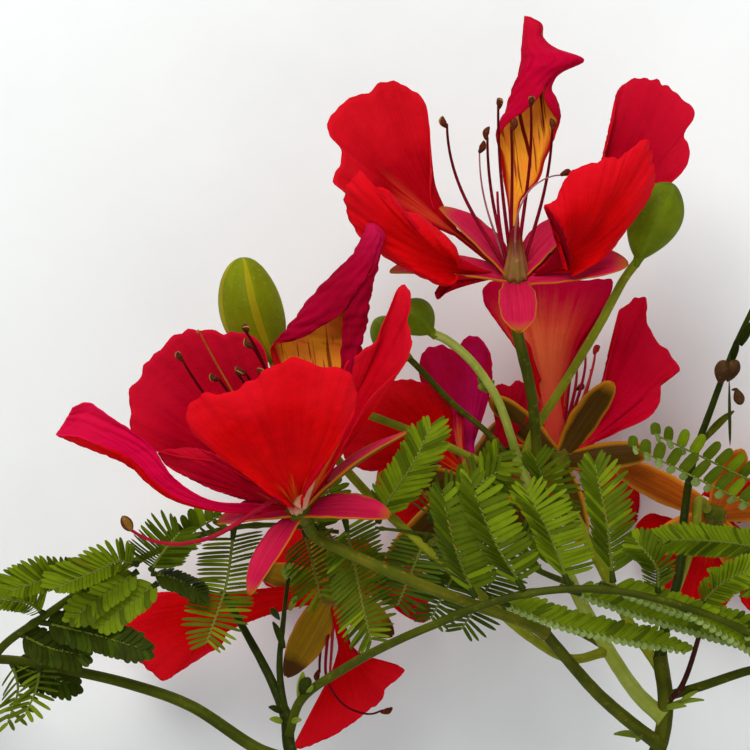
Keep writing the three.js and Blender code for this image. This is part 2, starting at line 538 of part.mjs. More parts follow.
function leafSolid(leaf) {
  const route = leaf.rachis.map(vec);
  const curve = new THREE.CatmullRomCurve3(route);
  const steps = Math.round(curve.getLength() / STEM_STEP);
  const sides = [
    { reach: leaf.above, face: vec(leaf.aboveFace).normalize() },
    { reach: leaf.below, face: vec(leaf.belowFace).normalize() },
  ];
  let solid = limb(route, leaf.from, leaf.to, steps, RACHIS_SIDES);
  for (let pair = 0; pair < leaf.pairs; pair += 1) {
    const turn = pair / (leaf.pairs - 1);
    const base = curve.getPointAt(THREE.MathUtils.lerp(leaf.first, leaf.last, turn));
    const size = 1 - LAST_PAIR_LOSS * turn * turn;
    for (const { reach, face } of sides) {
      const full = vec(reach[0]).lerp(vec(reach[1]), turn).multiplyScalar(size);
      solid = solid.add(pinnaSolid(base, full, face, leaf.teeth, leaf.leaflet));
    }
  }
  return solid;
}

// What is left when a solid is cut clear of the limbs that it springs from
function cutClear(solid, limbs) {
  return largest(limbs.reduce((rest, other) => rest.subtract(other), solid));
}

const group = new THREE.Group();
group.position.set(-MIDDLE_X, -MIDDLE_Y, PLANE_HEIGHT);
const room = {};

function show(name, solid, colour) {
  const mesh = solid.getMesh();
  const geometry = new THREE.BufferGeometry();
  geometry.setAttribute('position', new THREE.BufferAttribute(mesh.vertProperties, 3));
  geometry.setIndex(new THREE.BufferAttribute(mesh.triVerts, 1));
  const material = new THREE.MeshStandardMaterial({ color: colour, roughness: 0.6, metalness: 0 });
  const node = new THREE.Mesh(geometry, material);
  node.name = name;
  group.add(node);
}

function addLimb(spec, route, sides, colour) {
  const steps = Math.max(2, Math.round(new THREE.CatmullRomCurve3(route).getLength() / STEM_STEP));
  const solid = limb(route, spec.from, spec.to, steps, sides);
  const others = (spec.clear ?? []).map((name) => room[name]);
  room[spec.name] = limb(route, spec.from, spec.to, steps, sides, JOINT_GAP);
  show(spec.name, cutClear(solid, others), colour);
}

// The end of a flower stalk: straight into the foot of what it carries
function stalkEnd(carries) {
  const bloom = BLOOMS.find((item) => item.name === carries);
  if (bloom) {
    const axis = vec(bloom.axis).normalize();
    return [STALK_RUN_IN, CALYX_DEPTH + JOINT_GAP]
      .map((back) => vec(bloom.heart).addScaledVector(axis, -back));
  }
  const bud = BUDS.find((item) => item.name === carries);
  if (!bud) return [];
  const ahead = vec(bud.tip).sub(vec(bud.foot)).normalize();
  return [vec(bud.foot).addScaledVector(ahead, -JOINT_GAP)];
}

for (const stem of STEMS) addLimb(stem, stem.route.map(vec), STEM_SIDES, COLOURS[stem.colour]);
for (const stalk of STALKS) {
  addLimb(stalk, [...stalk.route.map(vec), ...stalkEnd(stalk.carries)], STALK_SIDES, COLOURS.stem);
}
for (const bloom of BLOOMS) show(bloom.name, bloomSolid(bloom), COLOURS.petal);
for (const bud of BUDS) show(bud.name, budSolid(bud), COLOURS.bud);
for (const leaf of LEAVES) {
  const limbs = leaf.clear.map((name) => room[name]);
  show(leaf.name, cutClear(leafSolid(leaf), limbs), COLOURS.leaf);
}

export default group;
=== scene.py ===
"""The looks of a cut flowering branch that lies on a pale floor, seen from straight above."""
import math

import bpy
import numpy as np
from mathutils import Matrix


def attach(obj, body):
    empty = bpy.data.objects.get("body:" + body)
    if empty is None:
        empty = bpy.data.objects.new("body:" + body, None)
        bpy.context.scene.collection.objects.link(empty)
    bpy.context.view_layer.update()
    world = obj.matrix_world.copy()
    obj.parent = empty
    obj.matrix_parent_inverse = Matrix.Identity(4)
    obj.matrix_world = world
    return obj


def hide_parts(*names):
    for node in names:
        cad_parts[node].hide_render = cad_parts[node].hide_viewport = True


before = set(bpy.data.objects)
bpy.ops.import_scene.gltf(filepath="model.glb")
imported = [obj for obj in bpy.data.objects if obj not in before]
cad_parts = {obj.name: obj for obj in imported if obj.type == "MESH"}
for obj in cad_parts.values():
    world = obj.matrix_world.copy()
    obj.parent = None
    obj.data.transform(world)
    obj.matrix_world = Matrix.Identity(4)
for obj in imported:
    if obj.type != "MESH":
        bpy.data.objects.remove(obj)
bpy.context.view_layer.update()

# The drawing plane: where the photograph's view places things, in millimetres
MM = 0.001
PIXEL = 0.27
PHOTO_MIDDLE = 375
CAMERA_HEIGHT = 1100
LENS = 195.6
PLANE = np.array([3.1, 41.3, 80.2])

# The camera's sensor in millimetres, and the floor's reach and the lights' target in metres
SENSOR_WIDTH = 36
FLOOR_REACH = 3.0
LIGHT_TARGET = (0.0, 0.04, 0.06)

# Thicknesses, and how far below its heart a bloom's calyx starts, in millimetres
PETAL_THICK = 0.45
SEPAL_THICK = 1.3
BRACT_THICK = 0.4
CALYX_DEPTH = 4.5


# Points and curves

def vec(*numbers):
    return np.array(numbers, dtype=float)


def unit(vectors):
    length = np.linalg.norm(vectors, axis=-1, keepdims=True)
    return vectors / np.maximum(length, 1e-9)


def smoothstep(value, low, high):
    share = np.clip((value - low) / (high - low), 0, 1)
    return share * share * (3 - 2 * share)


def photo(places):
    """Points of the drawing plane's frame, from pixels of the photograph and a depth each."""
    places = np.asarray(places, dtype=float)
    scale = PIXEL * (1 - places[..., 2] / CAMERA_HEIGHT)
    across = (places[..., 0] - PHOTO_MIDDLE) * scale
    up = (PHOTO_MIDDLE - places[..., 1]) * scale
    return np.stack([across, up, places[..., 2]], axis=-1)


def curve_points(points, each=16):
    """A smooth curve through the points, the same as the solids' routes follow."""
    points = np.asarray(points, dtype=float)
    points = np.vstack([2 * points[0] - points[1], points, 2 * points[-1] - points[-2]])
    t = np.linspace(0, 1, each, endpoint=False)[:, None]
    pieces = []
    gaps = np.maximum(np.linalg.norm(np.diff(points, axis=0), axis=1) ** 0.5, 1e-3)
    for a, b, c, d, *between in zip(points, points[1:], points[2:], points[3:], gaps, gaps[1:], gaps[2:]):
        gap_ab, gap_bc, gap_cd = between
        start = ((b - a) / gap_ab - (c - a) / (gap_ab + gap_bc) + (c - b) / gap_bc) * gap_bc
        stop = ((c - b) / gap_bc - (d - b) / (gap_bc + gap_cd) + (d - c) / gap_cd) * gap_bc
        pieces.append((2 * t**3 - 3 * t**2 + 1) * b + (t**3 - 2 * t**2 + t) * start
                      + (3 * t**2 - 2 * t**3) * c + (t**3 - t**2) * stop)
    pieces.append(points[-2][None])
    return np.vstack(pieces)


def even(path, count):
    """The path cut into evenly spaced points."""
    steps = np.linalg.norm(np.diff(path, axis=0), axis=1)
    length = np.concatenate([[0], np.cumsum(steps)])
    at = np.linspace(0, length[-1], count)
    return np.stack([np.interp(at, length, path[:, axis]) for axis in range(3)], axis=-1)


def path_length(path):
    return np.linalg.norm(np.diff(path, axis=0), axis=1).sum()


def bezier(points, shares):
    layers = [np.broadcast_to(p, (len(shares), 3)) for p in np.asarray(points, dtype=float)]
    t = np.asarray(shares)[:, None]
    while len(layers) > 1:
        layers = [a + (b - a) * t for a, b in zip(layers, layers[1:])]
    return layers[0]


def smooth_rows(table, count):
    """The rows of a table, filled in smoothly between the given ones."""
    table = np.asarray(table, dtype=float)
    full = np.vstack([2 * table[0] - table[1], table, 2 * table[-1] - table[-2]])
    at = np.linspace(0, len(table) - 1, count)
    k = np.minimum(at.astype(int), len(table) - 2)
    t = (at - k)[:, None]
    a, b, c, d = full[k], full[k + 1], full[k + 2], full[k + 3]
    return 0.5 * (2 * b + (c - a) * t + (2 * a - 5 * b + 4 * c - d) * t**2 + (3 * b - a - 3 * c + d) * t**3)


def ripple(share, seed, low, high):
    """A smooth random wave along a share from 0 to 1, mostly between -1 and 1, of five sine waves
    that repeat between low and high times each."""
    waves = 5
    rng = np.random.default_rng(seed)
    total = 0
    for _ in range(waves):
        height = rng.uniform(0.4, 1)
        total = total + height * np.sin(2 * math.pi * (rng.uniform(low, high) * share + rng.uniform(0, 1)))
    return total / (0.55 * waves)


def frames_along(path):
    """Directions to two sides at each point of a path, with no twist."""
    ahead = unit(np.gradient(path, axis=0))
    first = np.cross(ahead[0], vec(0, 0, 1))
    if np.linalg.norm(first) < 0.05:
        first = np.cross(ahead[0], vec(0, 1, 0))
    sides = [unit(first)]
    for direction in ahead[1:]:
        last = sides[-1]
        sides.append(unit(last - direction * np.dot(last, direction)))
    side = np.array(sides)
    return side, np.cross(ahead, side)


# Pieces

class Soup:
    """Points, faces, map coordinates and looks of what becomes one piece."""

    def __init__(self):
        self.points, self.maps, self.faces, self.looks = [], [], [], []
        self.names = []
        self.count = 0

    def look_number(self, look):
        if look not in self.names:
            self.names.append(look)
        return self.names.index(look)

    def add(self, points, maps, *blocks):
        """Adds a mesh. A block is faces with one look for them all, or with one look for each."""
        for faces, looks in blocks:
            if isinstance(looks, str):
                numbers = [self.look_number(looks)] * len(faces)
            else:
                numbers = [self.look_number(look) for look in looks]
            self.looks.extend(numbers)
            self.faces.append(faces + self.count)
        points = points.reshape(-1, 3)
        self.points.append(points)
        self.maps.append(maps)
        self.count += len(points)

    def piece(self, name, slot, node):
        mesh = bpy.data.meshes.new(name)
        points = (np.concatenate(self.points) + PLANE) * MM
        faces = [face for block in self.faces for face in block.tolist()]
        mesh.from_pydata(points.tolist(), [], faces)
        corners = np.empty(len(mesh.loops), dtype=np.int32)
        mesh.loops.foreach_get("vertex_index", corners)
        layer = mesh.uv_layers.new(name="Surface")
        layer.data.foreach_set("uv", np.concatenate(self.maps)[corners].ravel())
        for look in self.names:
            mesh.materials.append(LOOKS[look])
        mesh.polygons.foreach_set("material_index", self.looks)
        mesh.polygons.foreach_set("use_smooth", [True] * len(faces))
        mesh.update()
        piece = bpy.data.objects.new(name, mesh)
        bpy.context.collection.objects.link(piece)
        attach(piece, "root")
        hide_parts(node)


def grid_faces(rows, columns):
    """The quads of a grid of points, row by row."""
    start = (np.arange(rows - 1)[:, None] * columns + np.arange(columns - 1)).ravel()
    return np.stack([start, start + 1, start + columns + 1, start + columns], axis=-1)


def grid_maps(rows, columns):
    across, along = np.meshgrid(np.linspace(0, 1, columns), np.linspace(0, 1, rows))
    return np.stack([across, along], axis=-1).reshape(-1, 2)


def sheet(soup, grid, thick, front, back, rim=None):
    """A thin closed sheet. Its front looks to the side where its columns run clockwise."""
    rows, columns = grid.shape[:2]
    normal = unit(np.cross(np.gradient(grid, axis=1), np.gradient(grid, axis=0)))
    thick = np.broadcast_to(thick, (rows, columns))[..., None]
    upper = (grid + normal * thick / 2).reshape(-1, 3)
    lower = (grid - normal * thick / 2).reshape(-1, 3)
    count = rows * columns
    bottom = np.arange(columns)
    right = np.arange(1, rows) * columns + columns - 1
    top = np.arange(columns - 2, -1, -1) + (rows - 1) * columns
    left = np.arange(rows - 2, 0, -1) * columns
    edge = np.concatenate([bottom, right, top, left])
    after = np.roll(edge, -1)
    band = np.stack([edge, edge + count, after + count, after], axis=-1)
    quads = grid_faces(rows, columns)
    maps = grid_maps(rows, columns)
    soup.add(np.concatenate([upper, lower]), np.concatenate([maps, maps]),
             (quads, front), (quads[:, ::-1] + count, back), (band, rim or front))


def tube(soup, path, radii, looks, sides, bumps=1.0):
    """A round limb along a path, closed at both ends. looks is one name, or one for each side, and
    bumps multiplies the radius by row and side."""
    rows = len(path)
    side, up = frames_along(path)
    turn = np.linspace(0, 2 * math.pi, sides + 1)
    radius = np.broadcast_to(np.asarray(radii, dtype=float).reshape(-1, 1), (rows, sides + 1)) * bumps
    points = (path[:, None] + side[:, None] * (radius * np.cos(turn))[..., None]
              + up[:, None] * (radius * np.sin(turn))[..., None])
    count = rows * (sides + 1)
    first = np.arange(sides)
    last = count - sides - 1 + first
    foot = np.stack([first + 1, first, np.full(sides, count)], axis=-1)
    head = np.stack([last, last + 1, np.full(sides, count + 1)], axis=-1)
    side_looks, end_looks = looks, looks
    if not isinstance(looks, str):
        side_looks, end_looks = looks * (rows - 1), looks[0]
    soup.add(np.concatenate([points.reshape(-1, 3), [path[0], path[-1]]]),
             np.concatenate([grid_maps(rows, sides + 1), [[0.5, 0], [0.5, 1]]]),
             (grid_faces(rows, sides + 1), side_looks), (np.concatenate([foot, head]), end_looks))


def swell(share, fullest, power):
    """The radius share of an egg shape along its length."""
    bend = np.clip(share, 0, 1) ** (math.log(0.5) / math.log(fullest))
    return np.maximum(np.sin(math.pi * bend), 0) ** power


# Looks

LOOKS = {}


def times(colour, share):
    return tuple(share * channel for channel in colour)


class Graph:
    """A short way to write a material's nodes."""

    def __init__(self, name, roughness, specular):
        self.material = bpy.data.materials.new(name)
        self.material.use_nodes = True
        self.tree = self.material.node_tree
        self.shader = self.tree.nodes["Principled BSDF"]
        self.shader.inputs["Roughness"].default_value = roughness
        self.shader.inputs["Specular IOR Level"].default_value = specular
        LOOKS[name] = self.material

    def plug(self, value, socket):
        """Links a node's output to the socket, or sets the socket's own value."""
        if isinstance(value, bpy.types.NodeSocket):
            self.tree.links.new(value, socket)
        else:
            socket.default_value = value

    def node(self, kind, links=None, **values):
        made = self.tree.nodes.new("ShaderNode" + kind)
        for key, value in values.items():
            setattr(made, key, value)
        for key, value in (links or {}).items():
            self.plug(value, made.inputs[key])
        return made

    def surface(self, scale=(1, 1, 1)):
        """The piece's own map, across and along, scaled."""
        source = self.node("UVMap", uv_map="Surface")
        return self.node("Mapping", {"Vector": source.outputs[0], "Scale": scale}).outputs[0]

    def across(self):
        return self.node("SeparateXYZ", {0: self.surface()}).outputs[0]

    def along(self):
        return self.node("SeparateXYZ", {0: self.surface()}).outputs[1]

    def from_middle(self, middle=0.5):
        """How far a place lies from the middle, as a share of the way across."""
        return self.maths("ABSOLUTE", self.maths("SUBTRACT", self.across(), middle))

    def place(self, scale=(1, 1, 1), turn=0.0):
        """Places on the object, in metres, turned and then scaled."""
        source = self.node("TexCoord")
        links = {"Vector": source.outputs["Object"], "Scale": scale, "Rotation": (0, 0, turn)}
        return self.node("Mapping", links, vector_type="TEXTURE" if turn else "POINT").outputs[0]

    def noise(self, vector, scale, detail=3.0, roughness=0.55):
        links = {"Vector": vector, "Scale": scale, "Detail": detail, "Roughness": roughness}
        return self.node("TexNoise", links).outputs["Fac"]

    def ramp(self, factor, *stops):
        """Greys or colours by the factor. A stop is a place from 0 to 1 with its grey or colour."""
        made = self.node("ValToRGB", {"Fac": factor})
        for element, (place, colour) in zip(made.color_ramp.elements, stops):
            element.position = place
            element.color = (*colour, 1) if isinstance(colour, tuple) else (colour, colour, colour, 1)
        return made.outputs["Color"]

    def mix(self, factor, first, second):
        made = self.node("Mix", {0: factor}, data_type="RGBA")
        for socket, value in ((made.inputs[6], first), (made.inputs[7], second)):
            self.plug((*value, 1) if isinstance(value, tuple) else value, socket)
        return made.outputs[2]

    def lay(self, colour, over, factor, *stops):
        """The colour with another laid over it, as much as a ramp of the factor says."""
        return self.mix(self.ramp(factor, *stops), colour, over)

    def maths(self, operation, first, second=0.0):
        return self.node("Math", {0: first, 1: second}, operation=operation).outputs[0]

    def add(self, first, second, share=1.0):
        if share != 1.0:
            second = self.maths("MULTIPLY", second, share)
        return self.maths("ADD", first, second)

    def stray(self, value, noise, size):
        """The value with a noise about zero added, that wide."""
        return self.add(value, self.maths("SUBTRACT", noise, 0.5), size)

    def paint(self, colour, height, strength, distance):
        """The shader's colour, and its bumps with their height in metres."""
        self.tree.links.new(colour, self.shader.inputs["Base Color"])
        bump = self.node("Bump", {"Height": height, "Strength": strength, "Distance": distance})
        self.tree.links.new(bump.outputs[0], self.shader.inputs["Normal"])


def petal_look(name, body, shade, margin, claw, claw_reach, veins=0.5, foot=None,
               claw_half=0.5, claw_middle=0.5):
    """A petal: fine rays along it, a coloured claw and foot, soft blotches and a margin tint that is a
    painted sheen and glow of light through its thin edges.
    The claw's reach is a share of the petal's length, its half width and middle of the way across."""
    g = Graph(name, 0.62, 0.015)
    rays = g.noise(g.surface((30, 1.0, 1)), 1, 5, 0.6)
    fine = g.noise(g.surface((120, 2.6, 1)), 1, 3, 0.5)
    blotch = g.noise(g.place(), 60, 4)
    crinkle = g.noise(g.place(), 260, 4, 0.65)
    along = g.along()
    colour = g.lay(body, shade, blotch, (0.34, 0.0), (0.66, 1.0))
    colour = g.lay(colour, times(shade, 0.5), rays, (0.3, veins), (0.52, 0.0))
    colour = g.lay(colour, shade, fine, (0.35, 0.25), (0.6, 0.0))
    flame = g.ramp(g.stray(along, rays, 0.9), (0.4 * claw_reach, 1.0), (claw_reach, 0.0))
    narrow = g.ramp(g.from_middle(claw_middle), (claw_half, 1.0), (claw_half + 0.1, 0.0))
    colour = g.mix(g.maths("MULTIPLY", flame, narrow), colour, claw)
    colour = g.lay(colour, foot or claw, along, (0.3 * claw_reach, 1.0), (0.6 * claw_reach, 0.0))
    # The margin's tint is a painted sheen and glow of light through the thin edges, lighter than the body on
    # most petals
    colour = g.lay(colour, margin, g.stray(along, blotch, 0.4), (0.7, 0.0), (1.0, 0.8))
    g.shader.inputs["Subsurface Weight"].default_value = 0.1
    g.shader.inputs["Subsurface Radius"].default_value = (1.0, 0.2, 0.1)
    g.shader.inputs["Subsurface Scale"].default_value = 0.0015
    g.paint(colour, g.add(g.add(rays, fine, 0.7), crinkle, 1.3), 0.6, 0.0006)


def streaked_look(name, body, glow, streak, edge):
    """The inside of the standard petal: yellow-orange with dark red streaks."""
    g = Graph(name, 0.55, 0.05)
    lengthways = g.place((1, 14, 8), 0.12)
    broad = g.noise(lengthways, 640, 0, 0.5)
    fine = g.noise(lengthways, 1300, 0, 0.5)
    colour = g.lay(body, glow, g.noise(g.place(), 160, 2), (0.35, 0.0), (0.65, 1.0))
    colour = g.lay(colour, streak, fine, (0.29, 0.8), (0.36, 0.0))
    colour = g.lay(colour, streak, broad, (0.29, 1.0), (0.34, 0.0))
    colour = g.lay(colour, edge, g.from_middle(), (0.3, 0.0), (0.42, 1.0))
    g.paint(colour, g.add(broad, fine), 0.4, 0.0005)


def sepal_look(name, body, shade, rim, rim_start=0.47, rim_stop=0.5, tip=None):
    """A sepal's side: rays along it, a rim that fades in and a tinted tip."""
    g = Graph(name, 0.5, 0.07)
    rays = g.noise(g.surface((20, 1.2, 1)), 1, 4, 0.6)
    blotch = g.noise(g.place(), 190, 3)
    colour = g.lay(body, shade, rays, (0.32, 1.0), (0.62, 0.0))
    colour = g.lay(colour, shade, blotch, (0.45, 0.0), (0.75, 0.45))
    colour = g.lay(colour, rim, g.stray(g.from_middle(), blotch, 0.12), (rim_start, 0.0), (rim_stop, 1.0))
    fade = ((0.55, 0.0), (0.66, 0.95)) if tip else ((0.66, 0.0), (0.88, 0.9))
    colour = g.lay(colour, tip or rim, g.stray(g.along(), blotch, 0.12), *fade)
    g.paint(colour, g.add(rays, g.noise(g.place(), 700, 3)), 0.45, 0.0004)


def skin_look(name, body, shade, speck, roughness=0.5, grain=600.0, relief=0.3, amount=0.5, top=None):
    """A stem's, bud's or anther's skin: blotches, small specks, a fine grain and a tinted top."""
    g = Graph(name, roughness, 0.05)
    blotch = g.noise(g.place(), 110, 4)
    specks = g.noise(g.place(), grain, 2)
    grooves = g.noise(g.surface((9, 3, 1)), 1, 3)
    colour = g.lay(body, shade, blotch, (0.36, 0.0), (0.66, 1.0))
    colour = g.lay(colour, times(body, 0.5), grooves, (0.4, 0.35), (0.6, 0.0))
    colour = g.lay(colour, speck, specks, (0.6, 0.0), (0.72, amount))
    if top:
        colour = g.lay(colour, top, g.add(g.along(), grooves, 0.2), (0.5, 0.0), (0.95, 1.0))
    g.paint(colour, g.add(g.add(specks, blotch, 0.8), grooves), relief, 0.0003)


def leaf_look(name, body, shade):
    """A leaflet: soft blotches, a painted highlight along its midrib's fold and painted shade along its
    margin, where leaflets meet.
    """
    g = Graph(name, 0.5, 0.04)
    from_middle = g.from_middle()
    colour = g.lay(body, shade, g.noise(g.place(), 240, 3), (0.35, 0.0), (0.7, 1.0))
    # Painted highlight: a paler line along the midrib's fold
    colour = g.lay(colour, times(body, 1.35), from_middle, (0.02, 0.35), (0.07, 0.0))
    # Painted shade: a darker margin, where the leaflets meet and shade each other
    colour = g.lay(colour, times(shade, 0.5), from_middle, (0.4, 0.0), (0.5, 0.5))
    g.paint(colour, g.noise(g.place(), 1500, 2), 0.2, 0.0002)


def floor_look():
    g = Graph("floor", 0.85, 0.1)
    grain = g.noise(g.place(), 35, 4)
    colour = g.ramp(grain, (0.3, (0.90, 0.92, 0.91)), (0.7, (0.93, 0.95, 0.94)))
    g.paint(colour, grain, 0.05, 0.0005)


# Petals: body, shade, margin with its painted sheen and glow, claw and its reach, then the veins' depth,
# the foot and the claw's half width and middle
CRIMSON = (0.47, 0.0008, 0.012)
ORANGE = (0.74, 0.13, 0.006)
FOOT = (0.52, 0.010, 0.018)
petal_look("scarlet", (0.53, 0.0008, 0.003), (0.70, 0.0028, 0.003), (0.72, 0.006, 0.016),
           ORANGE, 0.24, 0.6, FOOT, 0.2)
petal_look("crimson", CRIMSON, (0.58, 0.002, 0.009), (0.66, 0.007, 0.02),
           ORANGE, 0.3, 0.6, FOOT, 0.2)
petal_look("crimson_deep", (0.44, 0.0006, 0.014), (0.34, 0.0004, 0.011), (0.58, 0.006, 0.026),
           ORANGE, 0.26, 0.6, FOOT, 0.1)
# A dark copy of crimson: painted shade for petal folds that lie in shadow
petal_look("crimson_dark", (0.24, 0.0006, 0.006), (0.3, 0.0008, 0.008), (0.36, 0.002, 0.01), CRIMSON, 0.2)
petal_look("flame", (0.33, 0.0003, 0.004), (0.44, 0.001, 0.007), (0.70, 0.008, 0.018),
           (0.88, 0.10, 0.03), 0.72, 0.6, FOOT, 0.02, 0.37)
petal_look("peach_fan", (0.44, 0.001, 0.022), (0.54, 0.004, 0.014), (0.40, 0.001, 0.032),
           (0.90, 0.17, 0.05), 0.95, 0.4, (0.72, 0.06, 0.035), 0.1, 0.46)
petal_look("magenta", (0.42, 0.001, 0.030), (0.28, 0.0007, 0.014), (0.62, 0.010, 0.08), ORANGE, 0.12, 0.6)
petal_look("plum", (0.64, 0.010, 0.17), (0.50, 0.003, 0.06), (0.48, 0.002, 0.024), ORANGE, 0.12, 0.4)
petal_look("pink_red", (0.74, 0.003, 0.068), (0.60, 0.0015, 0.045), (0.74, 0.010, 0.065), CRIMSON, 0.12)
petal_look("rose", (0.58, 0.0016, 0.036), (0.45, 0.0008, 0.021), (0.61, 0.006, 0.031), ORANGE, 0.2)
petal_look("ruby", (0.74, 0.0018, 0.03), (0.56, 0.001, 0.02), (0.70, 0.006, 0.032), ORANGE, 0.2)
streaked_look("throat", (0.94, 0.41, 0.02), (0.95, 0.30, 0.03), (0.16, 0.003, 0.002), (0.46, 0.004, 0.006))

# Sepals: body, shade and rim, then where the rim starts and is full, and the tip
sepal_look("sepal_inner", (0.62, 0.011, 0.066), (0.43, 0.004, 0.034), (0.38, 0.10, 0.008))
sepal_look("sepal_outer", (0.13, 0.09, 0.003), (0.2, 0.05, 0.003), (0.5, 0.16, 0.006), 0.4, 0.48)
sepal_look("sepal_rim", (0.44, 0.16, 0.006), (0.30, 0.12, 0.006), (0.5, 0.12, 0.006))
sepal_look("sepal_brown", (0.10, 0.045, 0.0015), (0.06, 0.022, 0.001), (0.60, 0.22, 0.006), 0.3, 0.46)
sepal_look("sepal_orange", (0.46, 0.095, 0.002), (0.28, 0.042, 0.002), (0.62, 0.2, 0.006), 0.3, 0.46)
sepal_look("sepal_yellow", (0.34, 0.19, 0.002), (0.22, 0.10, 0.002), (0.5, 0.17, 0.004), 0.36, 0.48,
           (0.07, 0.022, 0.003))

# Stamens: body, shade and specks
skin_look("thread", (0.22, 0.002, 0.014), (0.28, 0.004, 0.018), (0.36, 0.02, 0.02), top=(0.10, 0.0015, 0.003))
skin_look("red_thread", (0.34, 0.003, 0.02), (0.42, 0.006, 0.03), (0.5, 0.04, 0.03))
skin_look("pink_thread", (0.5, 0.02, 0.03), (0.55, 0.04, 0.05), (0.6, 0.1, 0.08))
skin_look("thread_pale", (0.4, 0.16, 0.15), (0.3, 0.08, 0.09), (0.5, 0.3, 0.25))
skin_look("style", (0.42, 0.09, 0.008), (0.5, 0.16, 0.015), (0.3, 0.03, 0.006))
skin_look("anther", (0.09, 0.014, 0.005), (0.15, 0.028, 0.008), (0.3, 0.12, 0.05), 0.6, 1500, 0.6)
skin_look("anther_red", (0.5, 0.02, 0.012), (0.36, 0.01, 0.008), (0.6, 0.1, 0.03), 0.6, 1500, 0.6)
skin_look("anther_face", (0.24, 0.12, 0.015), (0.16, 0.06, 0.008), (0.4, 0.26, 0.05), 0.6, 1500, 0.6)
skin_look("pollen", (0.62, 0.34, 0.09), (0.42, 0.16, 0.03), (0.8, 0.6, 0.26), 0.7, 1800, 0.6)

# Calyx, throat and buds
skin_look("calyx_green", (0.085, 0.10, 0.004), (0.16, 0.14, 0.008), (0.3, 0.2, 0.02))
skin_look("throat_cone", (0.34, 0.12, 0.05), (0.17, 0.13, 0.02), (0.45, 0.2, 0.1), 0.5, 300, 0.5,
          top=(0.2, 0.006, 0.008))
skin_look("throat_cream", (0.66, 0.36, 0.2), (0.6, 0.2, 0.14), (0.7, 0.42, 0.2), grain=300,
          top=(0.5, 0.02, 0.04))
for name, *colours in (
        ("bud_gold", (0.205, 0.24, 0.0025), (0.165, 0.19, 0.0025), (0.36, 0.36, 0.02)),
        ("bud_gold_seam", (0.36, 0.32, 0.005), (0.31, 0.25, 0.004), (0.42, 0.3, 0.01)),
        ("bud_green", (0.15, 0.19, 0.003), (0.085, 0.12, 0.002), (0.2, 0.25, 0.02)),
        ("bud_green_seam", (0.16, 0.21, 0.004), (0.1, 0.14, 0.003), (0.2, 0.25, 0.02))):
    skin_look(name, *colours, grain=900, amount=0.3)

# Stems, bark and small things
skin_look("olive_stem", (0.044, 0.052, 0.002), (0.09, 0.096, 0.004), (0.16, 0.15, 0.015))
skin_look("leaf_stem", (0.042, 0.052, 0.002), (0.075, 0.09, 0.003), (0.13, 0.14, 0.012))
skin_look("pale_stem", (0.38, 0.42, 0.08), (0.26, 0.30, 0.03), (0.45, 0.42, 0.14))
skin_look("lime_stem", (0.26, 0.27, 0.012), (0.16, 0.17, 0.006), (0.36, 0.33, 0.04))
skin_look("dark_stem", (0.017, 0.025, 0.0015), (0.034, 0.045, 0.002), (0.07, 0.085, 0.008))
skin_look("old_skin", (0.06, 0.012, 0.007), (0.035, 0.008, 0.005), (0.14, 0.05, 0.02))
skin_look("bark", (0.12, 0.085, 0.05), (0.2, 0.16, 0.11), (0.32, 0.27, 0.2), 0.8, 420, 0.8)
skin_look("bract", (0.22, 0.28, 0.02), (0.15, 0.21, 0.014), (0.3, 0.3, 0.06))
skin_look("dry_bud", (0.05, 0.022, 0.008), (0.09, 0.04, 0.012), (0.2, 0.1, 0.04), 0.7, 900, 0.6)

# Leaves: ribs and their joints, and the leaflets' greens
skin_look("rib", (0.12, 0.16, 0.012), (0.17, 0.2, 0.02), (0.26, 0.27, 0.06))
skin_look("rib_pale", (0.26, 0.29, 0.06), (0.20, 0.23, 0.04), (0.36, 0.37, 0.12))
skin_look("pulvinus", (0.035, 0.05, 0.003), (0.025, 0.04, 0.003), (0.08, 0.1, 0.012))
leaf_look("leaf_bright", (0.165, 0.23, 0.004), (0.12, 0.175, 0.003))
leaf_look("leaf_mid", (0.088, 0.125, 0.0028), (0.062, 0.094, 0.002))
leaf_look("leaf_deep", (0.047, 0.074, 0.0022), (0.033, 0.056, 0.0018))
# A shaded copy of the leaf greens: painted shade for pinnae that lie in shadow
leaf_look("leaf_dark", (0.034, 0.048, 0.0015), (0.020, 0.030, 0.001))
leaf_look("leaf_olive", (0.115, 0.135, 0.004), (0.14, 0.155, 0.005))
leaf_look("leaf_cool", (0.06, 0.092, 0.005), (0.042, 0.068, 0.003))
leaf_look("leaf_pale", (0.25, 0.33, 0.09), (0.18, 0.24, 0.05))
floor_look()


# Blooms

# Where petals, sepals and stamens start, from the heart, in millimetres
PETAL_START = 1.2
SEPAL_START = 1.8
STAMEN_START = 1.8
STAMEN_RING = 1.8

# How much a petal's bulge turns to the line of sight, and how a rolled petal's cross section is limited
BULGE_TURN = 1.6
ROLL_LIMITS = (0.2, 4.2)
ROLL_DEPTH = 0.75
ROLL_DEEPEST = 5.0

# A sepal's bow, as a share of its length, and half the angle of its cross section
SEPAL_BOW = 0.12
SEPAL_ARC = 0.6

# Stamens, calyx and throat, in millimetres
THIN_FILAMENT, FILAMENT, LONG_FILAMENT = 0.36, 0.58, 0.72
FILAMENT_TAPER = 0.42
ANTHER_LENGTH, ANTHER_RADIUS, ANTHER_BOW = 3.9, 1.02, 0.7
CALYX_FOOT, CALYX_TOP = 1.55, 3.3
THROAT_TIP, THROAT_FOOT = 1.35, 3.65

# The anther on each look of filament: its look, its seam's look and its size
ANTHERS = {
    "thread": ("anther", "pollen", 1.0),
    "thread_pale": ("anther", "pollen", 1.0),
    "pink_thread": ("anther_red", "anther", 1.0),
    "style": ("style", "pollen", 0.42),
}


